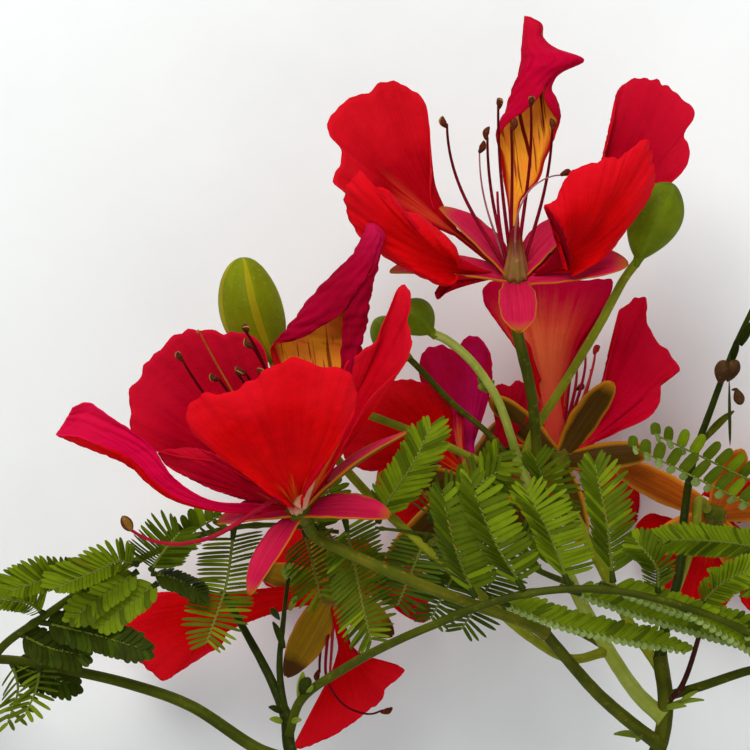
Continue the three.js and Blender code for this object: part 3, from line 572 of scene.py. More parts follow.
def fan_petal(soup, heart, claw_end, margin, front, back, bulge, seed, ruffle=0.8, pleat=0.38,
              claw=1.5, neck=0.5, teeth=0.009):
    """A petal whose rays run from the heart through its claw to a margin listed clockwise.
    bulge, ruffle and pleat are depths and claw is half the claw's width, in millimetres. neck is how
    much of the claw stays narrow, and teeth how far the margin's small teeth reach, as shares."""
    rows, columns = 38, 121
    u = np.linspace(0, 1, columns)
    v = np.linspace(0, 1, rows)[:, None]
    rim = even(curve_points(photo(margin), 10), columns)
    stop = photo(claw_end)
    half = columns // 2
    aside = unit(rim[half:].mean(axis=0) - rim[:half].mean(axis=0))
    toward = unit(np.cross(aside, rim.mean(axis=0) - stop))
    toward = unit(toward + vec(0, 0, BULGE_TURN * np.sign(toward[2])))
    claw_length = np.linalg.norm(stop - heart)
    claw_share = claw_length / (claw_length + np.linalg.norm(rim - stop, axis=1).mean())
    along = smoothstep(v, 0, 1.35 * claw_share)[..., None]
    out = (np.maximum(0, v - neck * claw_share) / (1 - neck * claw_share))[..., None] ** 1.1
    scallops = 0.010 * ripple(u, seed + 1, 5, 12) + teeth * ripple(u, seed + 5, 16, 34)
    reach = (rim - stop) * (1 + scallops)[:, None]
    centre = heart + unit(stop - heart) * PETAL_START * (1 - along) + (stop - heart) * along
    narrow = np.minimum(1, 0.45 + 3 * v)[..., None] * (1 - out)
    grid = centre + aside * (claw * (2 * u - 1))[:, None] * narrow + reach * out
    bowl = bulge * np.sin(math.pi * np.minimum(out, 1)) ** 0.9
    ruffles = ruffle * out**4 * ripple(u, seed + 2, 1.5, 7)[:, None]
    crimps = 0.42 * out**9 * ripple(u, seed + 6, 12, 28)[:, None]
    pleats = pleat * (ripple(u, seed + 3, 6, 16)[:, None] * out * (1 - 0.5 * out**4))
    dents = 0.6 * out**2 * ripple(u + 0.6 * v, seed + 4, 2, 5)[..., None]
    creases = 0.22 * out * ripple(1.7 * u + 3.1 * v, seed + 7, 3, 9)[..., None]
    grid = grid + toward * (bowl + ruffles + crimps + pleats + dents + creases)
    sheet(soup, grid, PETAL_THICK * (1.5 - 0.9 * v), front, back)


def rolled_petal(soup, stations, inner, outer, seed, crinkle=0.25):
    """A petal whose sides roll over towards the camera. A station is its left and right edge in the
    photograph, its depth, and how far its left and right side roll, in radians."""
    rows, columns = 84, 73
    table = smooth_rows(stations, rows)
    left = photo(table[:, [0, 1, 4]])
    right = photo(table[:, [2, 3, 4]])
    roll_left, roll_right = np.clip(table[:, 5:7].T, *ROLL_LIMITS)
    v = np.linspace(0, 1, rows)
    u = np.linspace(0, 1, columns)
    widest_left = np.sin(np.minimum(roll_left, math.pi / 2))
    widest_right = np.sin(np.minimum(roll_right, math.pi / 2))
    half = np.linalg.norm(right - left, axis=1) / (widest_left + widest_right)
    centre = left + (right - left) * (widest_left / (widest_left + widest_right))[:, None]
    side = unit(right - left)
    turn = -roll_left[:, None] + (roll_left + roll_right)[:, None] * u
    lapped = 0.10 * smoothstep(-turn, 2.6, 3.8) - 0.06 * smoothstep(turn, 1.8, 2.6)
    deep = np.minimum(ROLL_DEPTH * half, ROLL_DEEPEST)
    round_side = np.sin(turn) * (1 + 0.3 * lapped)
    grid = centre[:, None] + side[:, None] * (half[:, None] * round_side)[..., None]
    grid[..., 2] -= deep[:, None] * np.cos(turn) * (1 + lapped)
    waves = ripple(u[None] * 1.5 + v[:, None] * 0.8, seed, 2, 7)
    fine = ripple(u[None] * 0.4 + v[:, None] * 2.5, seed + 1, 3, 9)
    small = ripple(u[None] * 2.2 - v[:, None] * 3.1, seed + 2, 4, 11)
    grow = crinkle * np.minimum(1, half / 5)[:, None] * (waves + 0.6 * fine + 0.35 * small)
    grid = grid + side[:, None] * (grow * np.sin(turn))[..., None]
    grid[..., 2] -= grow * np.cos(turn)
    sheet(soup, grid, PETAL_THICK, inner, outer)


def spoon(share, widest, blunt):
    """The share of a petal's half width at one place, as on the solids."""
    past = np.maximum(0, (share - widest) / (1 - widest))
    round_end = np.sqrt(np.maximum(0, 1 - past * past))
    return (0.15 + 0.85 * smoothstep(share, widest - 0.42, widest)) * (blunt + (1 - blunt) * round_end)


def blade_grid(curve, face, half, arc, columns):
    """A curved blade along a midrib, with its inner side to the face."""
    ahead = unit(np.gradient(curve, axis=0))
    face = unit(vec(*face))
    inner = unit(face - ahead * (ahead @ face)[:, None])
    side = np.cross(ahead, inner)
    turn = arc[:, None] * np.linspace(-1, 1, columns)
    radius = (half / arc)[:, None]
    return (curve[:, None] + side[:, None] * (radius * np.sin(turn))[..., None]
            + inner[:, None] * (radius * (1 - np.cos(turn)))[..., None]), inner


def plain_petal(soup, heart, petal, seed):
    """A petal by the solids' own rule, with a ruffled margin."""
    handles, tip, face, width, cup, *shape = petal
    widest, blunt = shape or (0.74, 0.12)
    rows, columns = 40, 61
    share = np.sin(np.linspace(0, math.pi / 2, rows))
    first = unit(vec(*handles[0])) * PETAL_START
    curve = bezier([first, handles[0], handles[1], tip], share) + heart
    half = width / 2 * spoon(share, widest, blunt)
    grid, inner = blade_grid(curve, face, np.maximum(half, 0.4), np.interp(share, [0, 1], cup), columns)
    v = share[:, None]
    u = np.linspace(-1, 1, columns)
    margin = np.abs(u) ** 3 + v**8
    ruffles = 0.9 * v**2 * margin * ripple(v + 0.31 * u, seed, 1.5, 6)
    crimps = 0.35 * margin * v * ripple(v + 0.4 * u, seed + 2, 7, 15)
    pleats = 0.3 * v * ripple(u, seed + 1, 3, 7)
    grid = grid + inner[:, None] * (ruffles + crimps + pleats)[..., None]
    sheet(soup, grid, PETAL_THICK * (1.5 - 0.9 * v), "crimson", "scarlet")


def sepal(soup, heart, tip, face, width, looks, blunt):
    """A thick sepal. looks: inner side, outer side and rim. blunt runs from 0, pointed, to 1, round."""
    rows, columns = 26, 17
    share = np.sin(np.linspace(0, math.pi / 2, rows))
    v = share[:, None]
    u = np.linspace(-1, 1, columns)
    tip = vec(*tip)
    face = unit(vec(*face))
    seed = int(abs(tip[0] * 7 + tip[1] * 3)) + 5
    middle = tip / 2 + face * SEPAL_BOW * np.linalg.norm(tip)
    curve = bezier([unit(tip) * SEPAL_START, middle, tip], share) + heart
    pointed = np.maximum(0.14, np.sin(math.pi * (0.14 + 0.84 * share)) ** 0.8)
    foot = 0.62 + 0.38 * smoothstep(share, 0, 0.5) + 0.3 * max(0, blunt - 0.8) * (1 - share)
    rounded = foot * np.sqrt(np.maximum(0.02, 1 - np.maximum(0, (share - 0.68) / 0.32) ** 2))
    half = width / 2 * (pointed * (1 - blunt) + rounded * blunt)
    half[-1] *= 0.5
    half = half * (1 + 0.03 * ripple(share, seed, 2, 6))
    grid, inner = blade_grid(curve, face, half, np.full(rows, SEPAL_ARC), columns)
    keel = 0.3 * (1 - np.abs(u)) * np.sin(math.pi * v)
    wave = 0.22 * np.abs(u) ** 2 * ripple(v + 0.3 * u, seed + 1, 1.5, 4)
    ribs = 0.05 * np.cos(9 * math.pi * u)
    grid = grid - inner[:, None] * (keel + wave + ribs)[..., None]
    sheet(soup, grid, (SEPAL_THICK - 0.85 * np.abs(u) ** 3) * (1 - 0.35 * v), *looks)


def anther(soup, end, ahead, look, seam, size):
    """A small curved anther that sits askew on the end of its filament, with pale open edges."""
    sides = 14
    rng = np.random.default_rng(int(abs(end[0] * 13 + end[1] * 29)))
    lean = unit(ahead + 0.4 * unit(vec(*rng.normal(0, 1, 3)) * vec(1, 0.4, 0.6)))
    bow = unit(np.cross(lean, vec(*rng.normal(0, 1, 3))))
    share = np.linspace(0, 1, 11)
    start = end - ahead * 0.5 - lean * 0.6
    bend = ANTHER_BOW * np.sin(math.pi * share)
    path = start + size * (lean * (share * ANTHER_LENGTH)[:, None] + bow * bend[:, None])
    radii = size * ANTHER_RADIUS * swell(share, 0.52, 0.55) + 0.05
    turn = np.linspace(0, 2 * math.pi, sides + 1)
    bumps = (1 - 0.25 * np.abs(np.cos(turn)) ** 6)[None] * (1 + 0.08 * np.cos(11 * share))[:, None]
    looks = [seam if column in (0, 6) else look for column in range(sides)]
    tube(soup, path, radii, looks, sides, bumps)


def filament(soup, curve, look, radius):
    share = np.linspace(0, 1, len(curve))
    tube(soup, curve, radius * (1 - FILAMENT_TAPER * share), look, 8)
    if look in ANTHERS:
        anther(soup, curve[-1], unit(curve[-1] - curve[-2]), *ANTHERS[look])


def stamen(soup, heart, axis, place, look):
    """A stamen that leaves the heart along its axis and bends to its anther."""
    end = photo(place) - heart
    length = np.linalg.norm(end)
    end = end - 1.7 * unit(axis + 0.6 * end / length)
    aside = unit(end - axis * (end @ axis)) * STAMEN_RING
    start = axis * STAMEN_START + aside
    sway = np.cross(axis, aside) * 0.9 * math.sin(7 * end[0])
    last = end - axis * 0.4 * length - sway
    first = start + 0.35 * (last - start) + axis * 0.08 * length + sway
    curve = bezier([start, first, last, end], np.linspace(0, 1, 22)) + heart
    filament(soup, curve, look, THIN_FILAMENT if look in ("style", "thread_pale") else FILAMENT)


def long_stamen(soup, points):
    """The one stamen that leaves the bunch and shows its anther's open face."""
    sides = 18
    curve = even(curve_points(photo(points[:-1])), 60)
    filament(soup, curve, "red_thread", LONG_FILAMENT)
    share = np.linspace(0, 1, 13)
    start, end = curve[-1], photo(points[-1])
    path = start + (end - start) * (1.2 * share - 0.1)[:, None]
    looks = ["anther_face" if 11 < column < 16 else "anther" for column in range(sides)]
    bumps = 0.72 + 0.28 * np.abs(np.cos(np.linspace(0, 2 * math.pi, sides + 1)))
    tube(soup, path, 1.5 * swell(share, 0.5, 0.6) + 0.05, looks, sides, bumps)


def calyx(soup, heart, axis, height, look):
    """The green cup under a bloom and the ribbed cone in its throat."""
    sides = 40
    share = np.linspace(0, 1, 14)
    turn = np.linspace(0, 2 * math.pi, sides + 1)
    path = heart + axis * (-CALYX_DEPTH + (CALYX_DEPTH + 1.6) * share)[:, None]
    ribs = 1 + 0.07 * np.cos(5 * turn)[None] * share[:, None]
    radii = CALYX_FOOT + (CALYX_TOP - CALYX_FOOT) * smoothstep(share, 0, 0.95)
    tube(soup, path, radii, "calyx_green", sides, ribs)
    path = heart + axis * (1.0 + height * share)[:, None]
    ribs = 1 + 0.11 * np.cos(9 * turn)[None] * (1 - 0.4 * share[:, None])
    radii = THROAT_TIP + (THROAT_FOOT - THROAT_TIP) * (1 - share) ** 1.5
    radii = np.minimum(radii, 0.55 * height)
    tube(soup, path, radii * np.minimum(1, 0.6 + 3 * (1 - share)), look, sides, ribs)


# Buds

BUD_SIDES = 80
BUD_NECK = 1.15


def bud(soup, foot, tip, thick, fullest, looks, seed, bow=0.0, notch=0.0, round_end=0.56):
    """A closed bud: five sepals edge to edge, with a raised line where they meet."""
    foot, tip = vec(*foot), vec(*tip)
    rows, sides = 44, BUD_SIDES
    share = (1 - np.cos(np.linspace(0, math.pi, rows))) / 2
    v = share[:, None]
    ahead = unit(tip - foot)
    aside = unit(np.cross(ahead, vec(0, 0, 1)))
    path = foot + (tip - foot) * v + aside * (bow * np.sin(math.pi * v))
    turn = np.linspace(0, 2 * math.pi, sides + 1)
    angle = 2.5 * turn + 0.6 + 0.35 * (v - 0.5)
    ridge = np.abs(np.cos(angle)) ** 14
    body = smoothstep(v, 0.04, 0.3)
    bumps = 1 + body * (0.035 * ridge - 0.03 * np.abs(np.sin(angle)) ** 6)
    bumps = bumps + 0.018 * ripple(turn / (2 * math.pi) + 0.5 * v, seed, 1, 4)
    bumps = bumps - notch * smoothstep(v, 0.8, 1) * np.abs(np.sin(angle)) ** 2
    bumps[:, -1] = bumps[:, 0]
    radii = np.maximum(0.9 * (share < 0.5) + 0.25, thick / 2 * swell(share, fullest, round_end))
    skin, seam = looks
    columns = [seam if ridge[rows // 2, column] > 0.72 else skin for column in range(sides)]
    tube(soup, path, radii, columns, sides, bumps)
    neck = np.linspace(0, 1, 12)
    tube(soup, foot + ahead * (-1.6 + 4.6 * neck)[:, None], BUD_NECK * (1 + neck**2), skin, 20)


# Stems

# The distance between a stem's rows and its foot's flare, in millimetres, and how rough its skin is
STEM_STEP = 0.8
FLARE, FLARE_REACH = 0.35, 2.5
BARK_ROUGH, SKIN_ROUGH = 0.07, 0.03


def bark(soup, name, route, start, stop, look):
    """A stem's bark: its true taper, a flared foot, soft swellings and fine relief."""
    path = curve_points(route, 24)
    length = path_length(path)
    rows, sides = max(12, int(length / STEM_STEP)), 24
    share = np.linspace(0, 1, rows)
    radii = (start + (stop - start) * share) * (1 + FLARE * np.exp(-share * length / FLARE_REACH))
    turn = np.linspace(0, 1, sides + 1)
    around = np.minimum(turn, 1 - turn) * 2
    seed = sum(map(ord, name))
    rough = BARK_ROUGH if look == "bark" else SKIN_ROUGH
    bumps = 1 + rough * ripple(share[:, None] * length / 14 + around, seed, 1, 4)
    bumps = bumps + rough * 0.7 * ripple(around * 1.4 + 0.2 * share[:, None], seed + 1, 2, 5)
    tube(soup, even(path, rows), radii, look, sides, bumps)


def bead(soup, foot, ahead, length, radius, look, sides, rows, fullest):
    share = np.linspace(0, 1, rows)
    path = foot + unit(ahead) * (length * share)[:, None]
    tube(soup, path, radius * swell(share, fullest, 0.6) + 0.04, look, sides)


def bract(soup, foot, tip, half, look):
    """A small pointed scale that stands off a stem."""
    rows, columns = 14, 9
    share = np.linspace(0, 1, rows)
    length = np.linalg.norm(tip - foot)
    curve = bezier([foot, (foot + tip) / 2 + vec(0, 0.12, 0.1) * length, tip], share)
    widths = half * np.maximum(0.12, np.sin(math.pi * (0.12 + 0.87 * share)) ** 0.8)
    grid, _ = blade_grid(curve, (0.1, 0.2, 1), widths, np.full(rows, 0.9), columns)
    sheet(soup, grid, BRACT_THICK, look, look)


# Leaves

# A leaflet's outline: shares of its length, and of its width there
LEAFLET_ROWS = np.array([0, 0.05, 0.2, 0.5, 0.78, 0.93, 1.0])
LEAFLET_WIDTHS = np.array([0.5, 0.84, 0.97, 1.0, 0.9, 0.62, 0.14])

# How much a leaflet's margin is swept to its tip, its sides are folded up and its tip droops
LEAFLET_SWEEP, LEAFLET_FOLD, LEAFLET_DROOP = 0.03, 0.14, 0.05

# A pinna's leaflets: where the first and the last stand, how far they tilt up and close at the tip
FIRST_LEAFLET, LAST_LEAFLET = 0.09, 0.99
LEAFLET_TILT, LEAFLET_CLOSING = 0.14, 0.4

# Its rib and the joints, in millimetres
RIB_FOOT, RIB_TIP, RIB_FLARE = 0.46, 0.22, 0.5
JOINT_LENGTH, JOINT_RADIUS = 0.75, 0.27

# A side of a pinna whose leaflets look shorter than this shows their pale undersides, in millimetres
SHORT_LEAFLET = 3.3

# How a pinna holds its leaflets: for its left and its right side the angle from its rib, the turn about
# their own length and their length, then their width and pitch, in millimetres and radians
HOLDS = {
    "facing": ((1.05, 0.15, 6.8), (1.05, 0.15, 6.8), 1.85, 1.65),
    "turned": ((0.5, 0.85, 9.0), (1.64, 0.15, 9.2), 1.35, 1.12),
    "broken": ((0.5, 0.9, 8.6), (1.58, 0.15, 8.6), 1.75, 1.55),
    "raised": ((0.6, 0.8, 8.8), (1.12, 0.2, 8.6), 1.35, 1.25),
    "spread": ((1.2, 0.45, 8.8), (1.45, 0.3, 6.6), 1.3, 1.25),
    "flat": ((0.98, 0.35, 6.8), (0.77, 0.2, 9.2), 1.4, 1.12),
    "comb": ((1.2, 0.5, 3.6), (0.85, 0.3, 8.8), 1.55, 0.98),
    "fan": ((1.4, 0.5, 9.6), (0.9, 0.35, 8.2), 1.35, 0.8),
    "lobes": ((1.3, 0.15, 5.6), (1.2, 0.9, 5.0), 2.5, 2.5),
    "open": ((1.92, 0.45, 8.8), (1.45, 0.45, 8.8), 1.1, 1.15),
    "hanging": ((1.92, 0.45, 8.6), (1.1, 0.4, 8.8), 1.05, 1.15),
    "chevron": ((1.5, 0.5, 6.4), (0.85, 0.4, 7.0), 1.3, 2.3),
    "broad": ((0.85, 0.15, 6.8), (0.75, 0.5, 1.7), 2.05, 1.85),
    "under": ((1.0, 0.2, 5.4), (0.95, 0.3, 5.6), 2.4, 1.5),
    "round": ((1.2, 0.6, 2.3), (1.85, 0.1, 6.0), 3.1, 3.3),
    "dense": ((0.8, 0.6, 6.2), (0.9, 0.3, 6.2), 1.5, 1.05),
    "folded": ((0.7, 0.9, 3.8), (0.8, 0.3, 5.4), 1.9, 0.95),
    "shaded": ((1.0, 0.2, 5.6), (1.0, 0.2, 5.8), 2.5, 1.5),
}


def leaflets(soup, bases, along, across, normal, lengths, widths, looks):
    """Many oblong leaflets at once, each with a fold along its midrib."""
    count, rows, columns = len(bases), len(LEAFLET_ROWS), 3
    t = LEAFLET_ROWS[None, :, None]
    long = lengths[:, None, None]
    half = (widths[:, None] / 2 * LEAFLET_WIDTHS)[..., None] * np.array([-1, 0, 1])
    sweep = half + LEAFLET_SWEEP * long * t * t
    lift = LEAFLET_FOLD * np.abs(half) - LEAFLET_DROOP * long * t * t
    points = (bases[:, None, None] + along[:, None, None] * (long * t)[..., None]
              + across[:, None, None] * sweep[..., None] + normal[:, None, None] * lift[..., None])
    quads = grid_faces(rows, columns)
    first = np.arange(count) * rows * columns
    faces = (quads[None] + first[:, None, None]).reshape(-1, 4)
    maps = np.tile(grid_maps(rows, columns), (count, 1))
    soup.add(points, maps, (faces, [look for look in looks for _ in quads]))


def pinna(blades, ribs, route, face, hold, rng, greens):
    """A pinna: its rib with a swollen foot, and leaflets on both sides of it."""
    *sides, width, pitch = HOLDS[hold]
    path = even(curve_points(route, 12), 40)
    pairs = max(8, int(path_length(path) * 0.9 / pitch))
    ahead = unit(np.gradient(path, axis=0))
    face = unit(vec(*face))
    share = np.linspace(FIRST_LEAFLET, LAST_LEAFLET, pairs)
    at = share * (len(path) - 1)
    k = at.astype(int).clip(0, len(path) - 2)
    base = path[k] + (path[k + 1] - path[k]) * (at - k)[:, None]
    forward = unit(ahead[k])
    normal = unit(face - forward * (forward @ face)[:, None])
    side = np.cross(forward, normal)
    size = np.minimum(1, np.minimum(0.66 + 2.2 * share, 0.52 + 2.6 * (1 - share)))
    closing = 1 - LEAFLET_CLOSING * smoothstep(share, 0.75, 1)
    # Pinnae in painted shade get dark joints, also painted shade, instead of pale ones
    joint = "pulvinus" if "leaf_dark" in greens else "rib_pale"
    for way, (lean, twist, longest) in zip((-1, 1), sides):
        lean = (lean * closing + rng.normal(0, 0.03, pairs))[:, None]
        tilt = (LEAFLET_TILT + rng.normal(0, 0.05, pairs))[:, None]
        out = unit(side * way * np.sin(lean) + forward * np.cos(lean) + normal * tilt)
        twist = (twist * closing + rng.normal(0, 0.08, pairs))[:, None]
        flat = unit(forward - out * np.sum(out * forward, axis=1)[:, None])
        raised = np.cross(out, flat)
        raised = np.where(np.sum(raised * normal, axis=1)[:, None] < 0, -raised, raised)
        across = flat * np.cos(twist) + raised * np.sin(twist)
        above = raised * np.cos(twist) - flat * np.sin(twist)
        lengths = longest * size * (1 + rng.normal(0, 0.035, pairs))
        widths = width * (0.75 + 0.25 * size) * (1 + rng.normal(0, 0.05, pairs))
        picks = np.abs(rng.normal(0, 0.75, pairs)).astype(int).clip(0, len(greens) - 1)
        looks = ["leaf_pale" if longest < SHORT_LEAFLET else greens[pick] for pick in picks]
        start = base + out * 0.1 + forward * (0.22 * pitch * way)
        leaflets(blades, start, out, across, above, lengths, widths, looks)
        for foot, direction in zip(start - out * 0.35, out):
            bead(ribs, foot, direction, JOINT_LENGTH, JOINT_RADIUS, joint, 5, 4, 0.45)
    shares = np.linspace(0, 1, len(path))
    radii = RIB_FOOT + (RIB_TIP - RIB_FOOT) * shares + RIB_FLARE * np.exp(-shares * 26)
    tube(ribs, path, radii, "rib", 8)
    tube(ribs, path[:5], 0.95 - 0.08 * np.arange(5), "pulvinus", 10)


# What grows where: the solids' own tables, with the outlines that the photograph shows.
# Three numbers are millimetres in the drawing plane's frame where they are a stem's, stalk's, bud's or
# rachis's route, a heart or a reach from it, and otherwise a pixel of the photograph and a depth.

# Each stem: its foot's and its tip's radius, its look, its slot and its route
STEMS = [
    ("woody_branch", 4.0, 3.1, "bark", "bark", [(38, -177.5, -75.2), (43, -160, -71), (48, -144, -62)]),
    ("main_stem", 2.7, 2.1, "olive_stem", "green_stem",
     [(47, -147, -64), (56, -133, -49), (69, -117, -30), (77.5, -103, -18), (79.5, -90, -15),
      (78, -77, -16)]),
    ("left_stem", 2.2, 1.7, "dark_stem", "green_stem",
     [(47, -147, -64), (36, -139, -56), (18, -131, -40), (0, -121, -24), (-14, -112, -13),
      (-22.5, -103.5, -9), (-24, -91.5, -8)]),
    ("left_shoot", 1.9, 1.5, "dark_stem", "green_stem",
     [(6, -125, -29), (-20, -130, -34), (-52, -132, -40), (-85, -124, -42), (-106, -111, -39)]),
    ("raceme_axis", 1.5, 0.7, "dark_stem", "green_stem",
     [(78, -78, -16), (80, -68, -19), (84, -54, -24), (85.5, -40, -28), (88, -24, -28), (93, -9, -26),
      (98.5, 6.5, -22), (103.5, 18, -18)]),
    ("peduncle_upper", 2.2, 1.4, "pale_stem", "green_stem",
     [(79.5, -94, -15), (72.5, -88, -19), (62.5, -73, -22), (55, -59, -22), (48.5, -44, -20), (42, -30, -17),
      (39, -23, -15)]),
    ("peduncle_left", 1.9, 1.5, "olive_stem", "green_stem",
     [(78.5, -101.5, -16), (72.5, -97, -12), (61, -87, -6), (52.5, -77.5, 0), (45, -68.5, 5)]),
    ("old_stalk", 0.8, 0.6, "old_skin", "old_stem",
     [(79.5, -90, -15), (83.5, -85, -11), (88, -71, -7), (91, -58, -6)]),
    ("young_raceme", 1.1, 0.5, "dark_stem", "green_stem",
     [(-24, -95, -8), (-26, -80, -10), (-25, -67, -12), (-23.5, -54, -13)]),
    ("side_shoot", 1.4, 0.9, "dark_stem", "green_stem",
     [(-24, -93, -8.5), (-29, -82, -13), (-36.5, -69, -20), (-42, -60, -26)]),
]

# Each stalk: its foot's and its tip's radius, its look, what it carries and its route
STALKS = [
    ("stalk_bloom_upper", 1.3, 1.6, "olive_stem", "upper",
     [(46, -38, -18), (44.5, -24, -14), (42.5, -5, -8)]),
    ("stalk_bloom_left", 1.5, 1.6, "calyx_green", "left",
     [(46, -69.5, 4.3), (41.5, -67, 7), (25.5, -61, 12.5), (6.5, -53.5, 14), (-8, -47, 13)]),
    ("stalk_bloom_right", 1.4, 1.5, "lime_stem", "right",
     [(78, -80, -16), (71, -70, -21), (65, -58, -25), (58.5, -45, -27)]),
    ("stalk_bloom_low_right", 1.3, 1.4, "lime_stem", "low_right",
     [(82, -61, -22), (86, -52, -28), (89, -42, -31)]),
    ("stalk_bloom_low_left", 1.3, 1.4, "olive_stem", "low_left",
     [(63, -74, -22), (55, -70, -25), (43, -66, -29), (26.5, -60, -36), (8, -52, -44)]),
    ("stalk_bloom_middle", 1.2, 1.4, "olive_stem", "middle",
     [(50, -48, -21), (43, -46, -25), (34, -40, -26)]),
    ("stalk_bud_open", 1.3, 1.2, "lime_stem", "bud_open",
     [(64, -76, -22), (53.5, -77.5, -13), (42, -71, -4), (27, -58, 2), (13, -46, 4), (-1, -33, 1),
      (-15, -17, -5), (-25, -3, -11)]),
    ("stalk_bud_right", 1.2, 1.2, "lime_stem", "bud_right",
     [(40, -25, -15.5), (43.5, -16, -20), (50.5, -4.5, -17), (61, 13.5, -9), (67.5, 26, -4)]),
    ("stalk_bud_middle", 1.2, 1.2, "pale_stem", "bud_middle",
     [(39.3, -24, -15), (36.5, -15, -11), (33, -6, -10), (26, 4, -9), (19.5, 9.5, -8)]),
    ("stalk_bud_back", 0.8, 0.9, "olive_stem", "bud_back",
     [(41, -28, -16), (31, -16, -20), (21.5, -8, -21), (12, 2, -21)]),
    ("stalk_bare", 1.0, 1.1, "lime_stem", None,
     [(40.5, -27, -16.5), (30, -24, -9), (20, -19.5, -5), (9.5, -15, -2), (-2.5, -10.5, 2)]),
]

# Each bud: its foot, its tip, how thick it is and how far up, its looks, and then its bow, the notch of
# its tip and how round its ends are
BUDS = {
    "bud_open": ((-28, 4, -12), (-36, 32, -8), 17.3, 0.5, ("bud_gold", "bud_gold_seam"), -1.8, 0.1, 0.44),
    "bud_right": ((71, 31, -2), (80.5, 51.5, 2), 14.6, 0.57, ("bud_green", "bud_green_seam"), -0.8),
    "bud_middle": ((15.5, 11.5, -7), (7, 19.5, -5), 10.5, 0.55, ("bud_green", "bud_green_seam")),
    "bud_back": ((8.5, 5.5, -21), (0, 15.5, -22), 10, 0.55, ("bud_green", "bud_green_seam")),
}

GREEN_SEPALS = ("sepal_inner", "sepal_outer", "sepal_rim")
BROWN_SEPALS = ("sepal_inner", "sepal_brown", "sepal_orange")
ORANGE_SEPALS = ("sepal_inner", "sepal_orange", "sepal_orange")
YELLOW_SEPALS = ("sepal_inner", "sepal_yellow", "sepal_orange")

# How a standard petal that hides behind its bloom is cupped, then its widest place and its end
FOLDED = ((0.6, 1.4), 0.6, 0.3)

